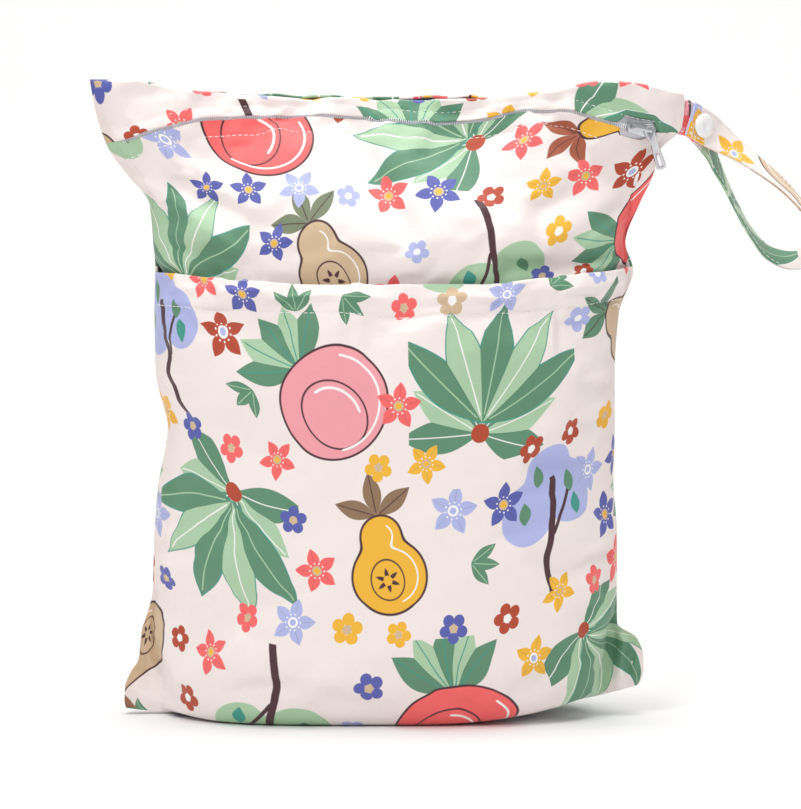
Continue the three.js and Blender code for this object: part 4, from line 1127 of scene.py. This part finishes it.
def repeated(name, paths, tree, step, length, thickness, uneven, look):
    """Runs a repeat tree along paths of points and outward ways, and keeps its result as a plain mesh."""
    points, edges, ways = [], [], []
    for line, out in paths:
        start = len(points)
        points += [tuple(p) for p in line * MM]
        ways += [tuple(p) for p in out]
        edges += [(start + k, start + k + 1) for k in range(len(line) - 1)]
    mesh = bpy.data.meshes.new(name + "_path")
    mesh.from_pydata(points, edges, [])
    mesh.attributes.new("out", "FLOAT_VECTOR", "POINT").data.foreach_set("vector", np.array(ways).ravel())
    guide = bpy.data.objects.new(name + "_path", mesh)
    bpy.context.scene.collection.objects.link(guide)
    nodes = guide.modifiers.new("Repeats", "NODES")
    nodes.node_group = tree
    sockets = {s.name: s.identifier for s in tree.interface.items_tree if s.in_out == "INPUT"}
    for key, value in {"Step": step * MM, "Length": length * MM, "Thickness": thickness * MM,
                       "Unevenness": uneven, "Material": look}.items():
        nodes[sockets[key]] = value
    graph = bpy.context.evaluated_depsgraph_get()
    made = bpy.data.meshes.new_from_object(guide.evaluated_get(graph), depsgraph=graph)
    guide.modifiers.remove(nodes)
    bpy.data.objects.remove(guide)
    made.name = name
    piece = bpy.data.objects.new(name, made)
    bpy.context.scene.collection.objects.link(piece)
    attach(piece, "bag")
    return piece


def cloth_path(cloth, line, by, low, high, lift):
    """A path on the cloth's outer face, beside a line, with the outward way at each point."""
    across = np.linspace(low, high, PATH_POINTS)
    here = cloth_at(across, level_of(line(across) + by), cloth, True)
    above = cloth_at(across, level_of(line(across) + by + 0.8), cloth, True)
    out = np.cross(np.gradient(here, axis=0), above - here)
    out = out / np.linalg.norm(out, axis=1, keepdims=True)
    return here + out * lift, out


seam_lines = [cloth_path(POCKET, pocket_height, -POCKET_STITCH, -0.985, 0.985, THREAD_LIFT),
              cloth_path(FRONT, zip_height, -LOW_STITCH, -0.975, 0.975, THREAD_LIFT),
              cloth_path(STRIP, zip_height, HIGH_STITCH, -0.975, 0.975, THREAD_LIFT)]
stitches = repeated("seam_stitches", seam_lines, STITCH_TREE, 3.0, 2.5, 0.46, 0.06, THREAD)

coil_line = cloth_path(FRONT, zip_height, -0.9, -0.93, SLIDER_ACROSS - 0.03, -0.3)
coil = repeated("zip_coil", [coil_line], COIL_TREE, 1.1, 2.5, 0.8, 0.0, COIL_NYLON)
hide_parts("top_zip_teeth")


# Strap
# Right, back and drop as shares, the lean in degrees, and 1 where the band lies over its own start.
STRAP_ROWS = np.array([
    (0, 0, 0, 90, 0), (0.02, 0.025, 0.006, 90, 0), (0.055, 0.125, 0.022, 90, 0),
    (0.1, 0.25, 0.055, 89, 0), (0.14, 0.35, 0.105, 84, 0), (0.185, 0.45, 0.2, 68, 0),
    (0.23, 0.54, 0.31, 46, 0), (0.3, 0.63, 0.45, 30, 0), (0.39, 0.7, 0.63, 22, 0), (0.5, 0.74, 0.82, 22, 0),
    (0.62, 0.74, 0.95, 27, 0), (0.77, 0.72, 1, 33, 0), (0.91, 0.67, 0.965, 35, 0), (0.98, 0.62, 0.86, 33, 0),
    (0.94, 0.57, 0.74, 27, 0), (0.83, 0.53, 0.6, 24, 0), (0.68, 0.5, 0.45, 27, 0), (0.5, 0.47, 0.31, 34, 0),
    (0.36, 0.41, 0.21, 48, 0), (0.25, 0.3, 0.135, 68, 0), (0.1425, 0.336, 0.09, 84, 1),
    (0.0825, 0.208, 0.055, 89, 1), (0.0025, 0.011, 0.012, 90, 1),
])
SNAP_STACK = 2 * (STRAP_THICK / 2 + SNAP_PLAY + SNAP_FLANGE) + PLAY
STACK_TURN = math.radians(52)
SNAP_RIGHT = 0.13
STRAP_UP = 0.941
seam_point = cloth_at(1.0, level_of(STRAP_UP * HEIGHT), BACK, True, on_edge=True)
strap_start = np.array([seam_point[0] + PLAY, float(sway_of(1.0, seam_point[2])), seam_point[2]])
strap_knots = strap_start + np.stack([
    STRAP_ROWS[:, 0] * STRAP_REACH + STRAP_ROWS[:, 4] * SNAP_STACK * math.cos(STACK_TURN),
    STRAP_ROWS[:, 1] * STRAP_BACK - STRAP_ROWS[:, 4] * SNAP_STACK * math.sin(STACK_TURN),
    -STRAP_ROWS[:, 2] * STRAP_REACH], -1)


def knot_curve(knots, t):
    """Centripetal curve through the knots, t from 0 to 1."""
    last = len(knots) - 1
    place = t * last
    k = min(int(place), last - 1)
    weight = place - k
    p1, p2 = knots[k], knots[k + 1]
    p0 = knots[k - 1] if k else 2 * knots[0] - knots[1]
    p3 = knots[k + 2] if k + 2 <= last else 2 * knots[last] - knots[last - 1]
    d0, d1, d2 = (max(float(np.sum((b - a) ** 2)) ** 0.25, 1e-4) for a, b in ((p0, p1), (p1, p2), (p2, p3)))
    m1 = ((p1 - p0) / d0 - (p2 - p0) / (d0 + d1) + (p2 - p1) / d1) * d1
    m2 = ((p2 - p1) / d1 - (p3 - p1) / (d1 + d2) + (p3 - p2) / d2) * d1
    c2 = -3 * p1 + 3 * p2 - 2 * m1 - m2
    c3 = 2 * p1 - 2 * p2 + m1 + m2
    return p1 + m1 * weight + c2 * weight ** 2 + c3 * weight ** 3


STRAP_PLACES = np.linspace(0, 1, len(STRAP_ROWS))


def strap_frame(t):
    """Point, along, across and outward ways of the strap."""
    step = 1e-4
    here = knot_curve(strap_knots, t)
    along = knot_curve(strap_knots, min(1, t + step)) - knot_curve(strap_knots, max(0, t - step))
    along = along / np.linalg.norm(along)
    lean = math.radians(float(through(STRAP_PLACES, STRAP_ROWS[:, 3], t)))
    wide = np.array([0, math.cos(lean), math.sin(lean)])
    wide = wide - wide.dot(along) * along
    wide = wide / np.linalg.norm(wide)
    return here, along, wide, np.cross(along, wide)


def band_profile(places):
    """Half thickness of the folded band across its width: rolled edges with a stitched groove inside them."""
    share = np.abs(places)
    plump = STRAP_THICK / 2 * (0.35 + 0.65 * np.sqrt(np.maximum(0, 1 - share ** 10)))
    return plump - 0.16 * np.exp(-((share - 0.8) / 0.06) ** 2)


def tube_faces(rings, around):
    """Faces between closed rings of points."""
    ahead = [(i, (i + 1) % around) for i in range(around)]
    return [(j + a, j + b, j + b + around, j + a + around) for j in range(0, (rings - 1) * around, around)
            for a, b in ahead]


STRAP_STEPS = 300
START_INTO_SEAM = 1.2
BAND_ACROSS = np.array([-1, -0.985, -0.95, -0.9, -0.85, -0.8, -0.75, -0.65, -0.4, 0, 0.4, 0.65, 0.75, 0.8, 0.85,
                        0.9, 0.95, 0.985, 1])
FLAT_BAND = (9, 204)
frames = [strap_frame(t) for t in np.linspace(0, 1, STRAP_STEPS + 1)]
frames[0] = (frames[0][0] - np.array([START_INTO_SEAM, 0, 0]), *frames[0][1:])
run = np.concatenate([[0], np.cumsum([np.linalg.norm(b[0] - a[0]) for a, b in zip(frames, frames[1:])])])
front_face = [(place, half, place) for place, half in zip(BAND_ACROSS, band_profile(BAND_ACROSS))]
back_face = [(place, -half, 2 - place) for place, half, _ in front_face[-2:0:-1]]
rings, flat_band = [], []
for gone, (here, _, wide, normal) in zip(run, frames):
    ripple = 0.16 * math.sin(gone * 1.35) + 0.1 * math.sin(gone * 0.61 + 1)
    pull = 0.12 * ripple * min(1.0, min(gone, run[-1] - gone) / 6)
    for place, half, flat_place in front_face + back_face:
        rings.append(here + wide * place * STRAP_WIDTH / 2 + normal * (half + pull * (abs(place) < 0.97)))
        flat_band.append((gone + FLAT_BAND[0], flat_place * STRAP_WIDTH / 2 + FLAT_BAND[1], 0))
band = len(BAND_ACROSS)
ring = len(front_face) + len(back_face)
faces = tube_faces(STRAP_STEPS + 1, ring)
for first in (0, STRAP_STEPS * ring):
    top_line = list(range(first, first + band))
    low_line = [top_line[0]] + [first + ring - i for i in range(1, band - 1)] + [top_line[-1]]
    for i in range(band - 1):
        end = list(dict.fromkeys([top_line[i], top_line[i + 1], low_line[i + 1], low_line[i]]))
        faces.append(tuple(end[::-1] if first else end))
strap = finish_mesh("strap_band", outward(mesh_from("strap_band", rings, faces, flat_band)), [CLOTH])
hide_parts("strap")

strap_lines = []
for side in (-0.8, 0.8):
    for face in (1, -1):
        line = [here + wide * side * STRAP_WIDTH / 2 + normal * face * (STRAP_THICK / 2 - 0.12)
                for here, _, wide, normal in frames[4:-4]]
        strap_lines.append((np.array(line), np.array([normal * face for *_, normal in frames[4:-4]])))
here, _, wide, normal = frames[-6]
for face in (1, -1):
    line = [here + wide * k * STRAP_WIDTH / 2 + normal * face * (STRAP_THICK / 2)
            for k in np.linspace(-0.75, 0.75, 12)]
    strap_lines.append((np.array(line), np.array([normal * face] * 12)))
strap_stitches = repeated("strap_stitches", strap_lines, STITCH_TREE, 3.0, 2.4, 0.42, 0.06, THREAD)


# Snap
AXIS = 0.0001


def turned_solid(name, profile, frame_matrix, segments=48):
    """A round solid from radius and height pairs, turned about the frame's Y."""
    turns = [2 * math.pi * k / segments for k in range(segments)]
    points = [frame_matrix @ Vector((radius * math.cos(turn), height, radius * math.sin(turn))) * MM
              for radius, height in profile for turn in turns]
    mesh = bpy.data.meshes.new(name)
    mesh.from_pydata(points, [], tube_faces(len(profile), segments))
    return outward(mesh)


def snap_profile(radius, dome, near):
    """One half of the snap: dimpled dome, rolled rim, post and inner disc."""
    cap = [(0.16, 0.73), (0.26, 0.94), (0.36, 1), (0.6, 0.9), (0.8, 0.68), (0.93, 0.4), (0.99, 0.18), (1, 0.06),
           (0.98, 0), (0.9, 0)]
    foot = -near - SNAP_FLANGE
    return [(AXIS, near + dome * 0.72), *((radius * out, near + dome * up) for out, up in cap),
            (SNAP_POST * 1.2, near), (SNAP_POST, near - 0.15), (SNAP_POST, 0.1 - near),
            (SNAP_POST * 1.2, -near), (SNAP_DISC * 0.96, -near), (SNAP_DISC, -near - 0.12),
            (SNAP_DISC, foot + 0.12), (SNAP_DISC * 0.96, foot), (AXIS, foot)]


target = strap_start[0] + SNAP_RIGHT * STRAP_REACH
snap_t = min(np.arange(0.8, 1, 0.001), key=lambda t: abs(knot_curve(strap_knots, t)[0] - target))
snap_at, _, snap_wide, snap_axis = strap_frame(snap_t)
if snap_axis[1] > 0:
    snap_axis = -snap_axis
snap_side = np.cross(snap_wide, snap_axis)

# How far behind the upper layer the strap's start passes the snap's axis.
behind_by = 0.0
for t in np.arange(0, 0.25, 0.0005):
    to = knot_curve(strap_knots, t) - snap_at
    back_of = -to.dot(snap_axis)
    aside = to + back_of * snap_axis
    aside = aside - aside.dot(snap_wide) * snap_wide
    if np.linalg.norm(aside) < 0.06:
        behind_by = back_of
snap_frame = Matrix(np.column_stack([snap_wide, snap_axis, snap_side]).tolist()).to_4x4()
front_frame = Matrix.Translation(snap_at) @ snap_frame
back_frame = front_frame @ Matrix.Translation((0, -behind_by, 0)) @ Matrix.Rotation(math.pi, 4, "X")
for name, node, slot, dome, placed in (
        ("snap_front", "snap_cap", "snap_plastic", SNAP_DOME, front_frame),
        ("snap_rear", "snap_back", "snap_back_plastic", SNAP_DOME * 0.8, back_frame)):
    profile = snap_profile(SNAP_RADIUS, dome, STRAP_THICK / 2 + SNAP_PLAY)
    made = finish_mesh(name, turned_solid(name, profile, placed), [SNAP_PLASTIC])
    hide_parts(node)


# Slider and pull
def eased(node, name, look, body, edge):
    """The frame's own shape with its edges broken."""
    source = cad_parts[node]
    mesh = source.data.copy()
    mesh.transform(source.matrix_world)
    mesh.materials.clear()
    outward(mesh)
    made = finish_mesh(name, mesh, [look], body, smooth_faces=False)
    bevel = made.modifiers.new("Edges", "BEVEL")
    bevel.width = edge * MM
    bevel.segments = 3
    bevel.limit_method = "ANGLE"
    bevel.angle_limit = math.radians(35)
    bevel.harden_normals = False
    graph = bpy.context.evaluated_depsgraph_get()
    shaped = bpy.data.meshes.new_from_object(made.evaluated_get(graph), depsgraph=graph)
    made.modifiers.clear()
    made.data = shaped
    shaped.shade_smooth()
    shaped.set_sharp_from_angle(angle=math.radians(50))
    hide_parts(node)


eased("top_zip_slider", "slider_body", SLIDER_NICKEL, "bag", 0.32)
eased("top_zip_pull", "pull_tab", PULL_NICKEL, "pull", 0.22)


# Studio: each lamp's name, place, aim, size and power.
LAMPS = (("key", (-0.85, -1.2, 1.65), (0, 0, 0.2), 0.9, 16.8),
         ("fill", (1.7, -1.4, 1.3), (0, 0, 0.15), 1.4, 8),
         ("top", (0.1, 0.1, 2.3), (0, 0, 0.1), 1.4, 21.5),
         ("backdrop", (0, 0.7, 2.6), (0, 2.3, 0.5), 2.2, 38))
AIR = 0.34
FLOOR_HALF, FLOOR_FRONT, FLOOR_BACK, FLOOR_BEND, FLOOR_TOP = 5, -4.0, 1.2, 1.2, 5.0


def studio():
    """White paper that bends up behind the bag, soft lamps and pale air."""
    paper = Look("floor_paper")
    shade = paper.mix(paper.noise(paper.place(), 6.0), tint("e9e8e7"), tint("edecec"))
    paper.set(Base_Color=shade, Roughness=0.9)
    bend = [(FLOOR_BACK + FLOOR_BEND * math.sin(a), FLOOR_BEND - FLOOR_BEND * math.cos(a))
            for a in np.linspace(0, math.pi / 2, 20)]
    path = [(FLOOR_FRONT, 0.0), *bend, (FLOOR_BACK + FLOOR_BEND, FLOOR_TOP)]
    points = [(x, y, z) for y, z in path for x in (-FLOOR_HALF, FLOOR_HALF)]
    faces = [(k, k + 1, k + 3, k + 2) for k in range(0, len(points) - 2, 2)]
    mesh = bpy.data.meshes.new("floor")
    mesh.from_pydata(points, [], faces)
    mesh.materials.append(paper.material)
    mesh.polygons.foreach_set("use_smooth", [True] * len(faces))
    floor = bpy.data.objects.new("floor", mesh)
    bpy.context.scene.collection.objects.link(floor)

    world = bpy.data.worlds.new("studio_air")
    world.use_nodes = True
    world.node_tree.nodes["Background"].inputs[0].default_value = (1, 1, 1, 1)
    world.node_tree.nodes["Background"].inputs[1].default_value = AIR
    bpy.context.scene.world = world
    for name, place, aim, size, power in LAMPS:
        lamp = bpy.data.lights.new(name, "AREA")
        lamp.size = size
        lamp.energy = power
        holder = bpy.data.objects.new(name, lamp)
        holder.location = place
        holder.rotation_euler = (Vector(aim) - Vector(place)).to_track_quat("-Z", "Y").to_euler()
        bpy.context.scene.collection.objects.link(holder)
    bpy.context.scene.view_settings.view_transform = "Standard"


PHOTO_HIGH, PIXEL = 809, 0.0005
SENSOR = 24


def camera():
    """Square to the front, a little above, at half a millimetre to the pixel."""
    distance, raised = 1.9, math.radians(4)
    aim = Vector((0.00675, -0.02, 0.15775))
    lens = bpy.data.cameras.new("camera")
    lens.sensor_fit = "VERTICAL"
    lens.sensor_height = SENSOR
    lens.lens = SENSOR * distance / (PHOTO_HIGH * PIXEL)
    lens.clip_end = 30
    holder = bpy.data.objects.new("camera", lens)
    holder.location = aim + Vector((0, -math.cos(raised), math.sin(raised))) * distance
    holder.rotation_euler = (math.pi / 2 - raised, 0, 0)
    bpy.context.scene.collection.objects.link(holder)
    bpy.context.scene.camera = holder


studio()
camera()
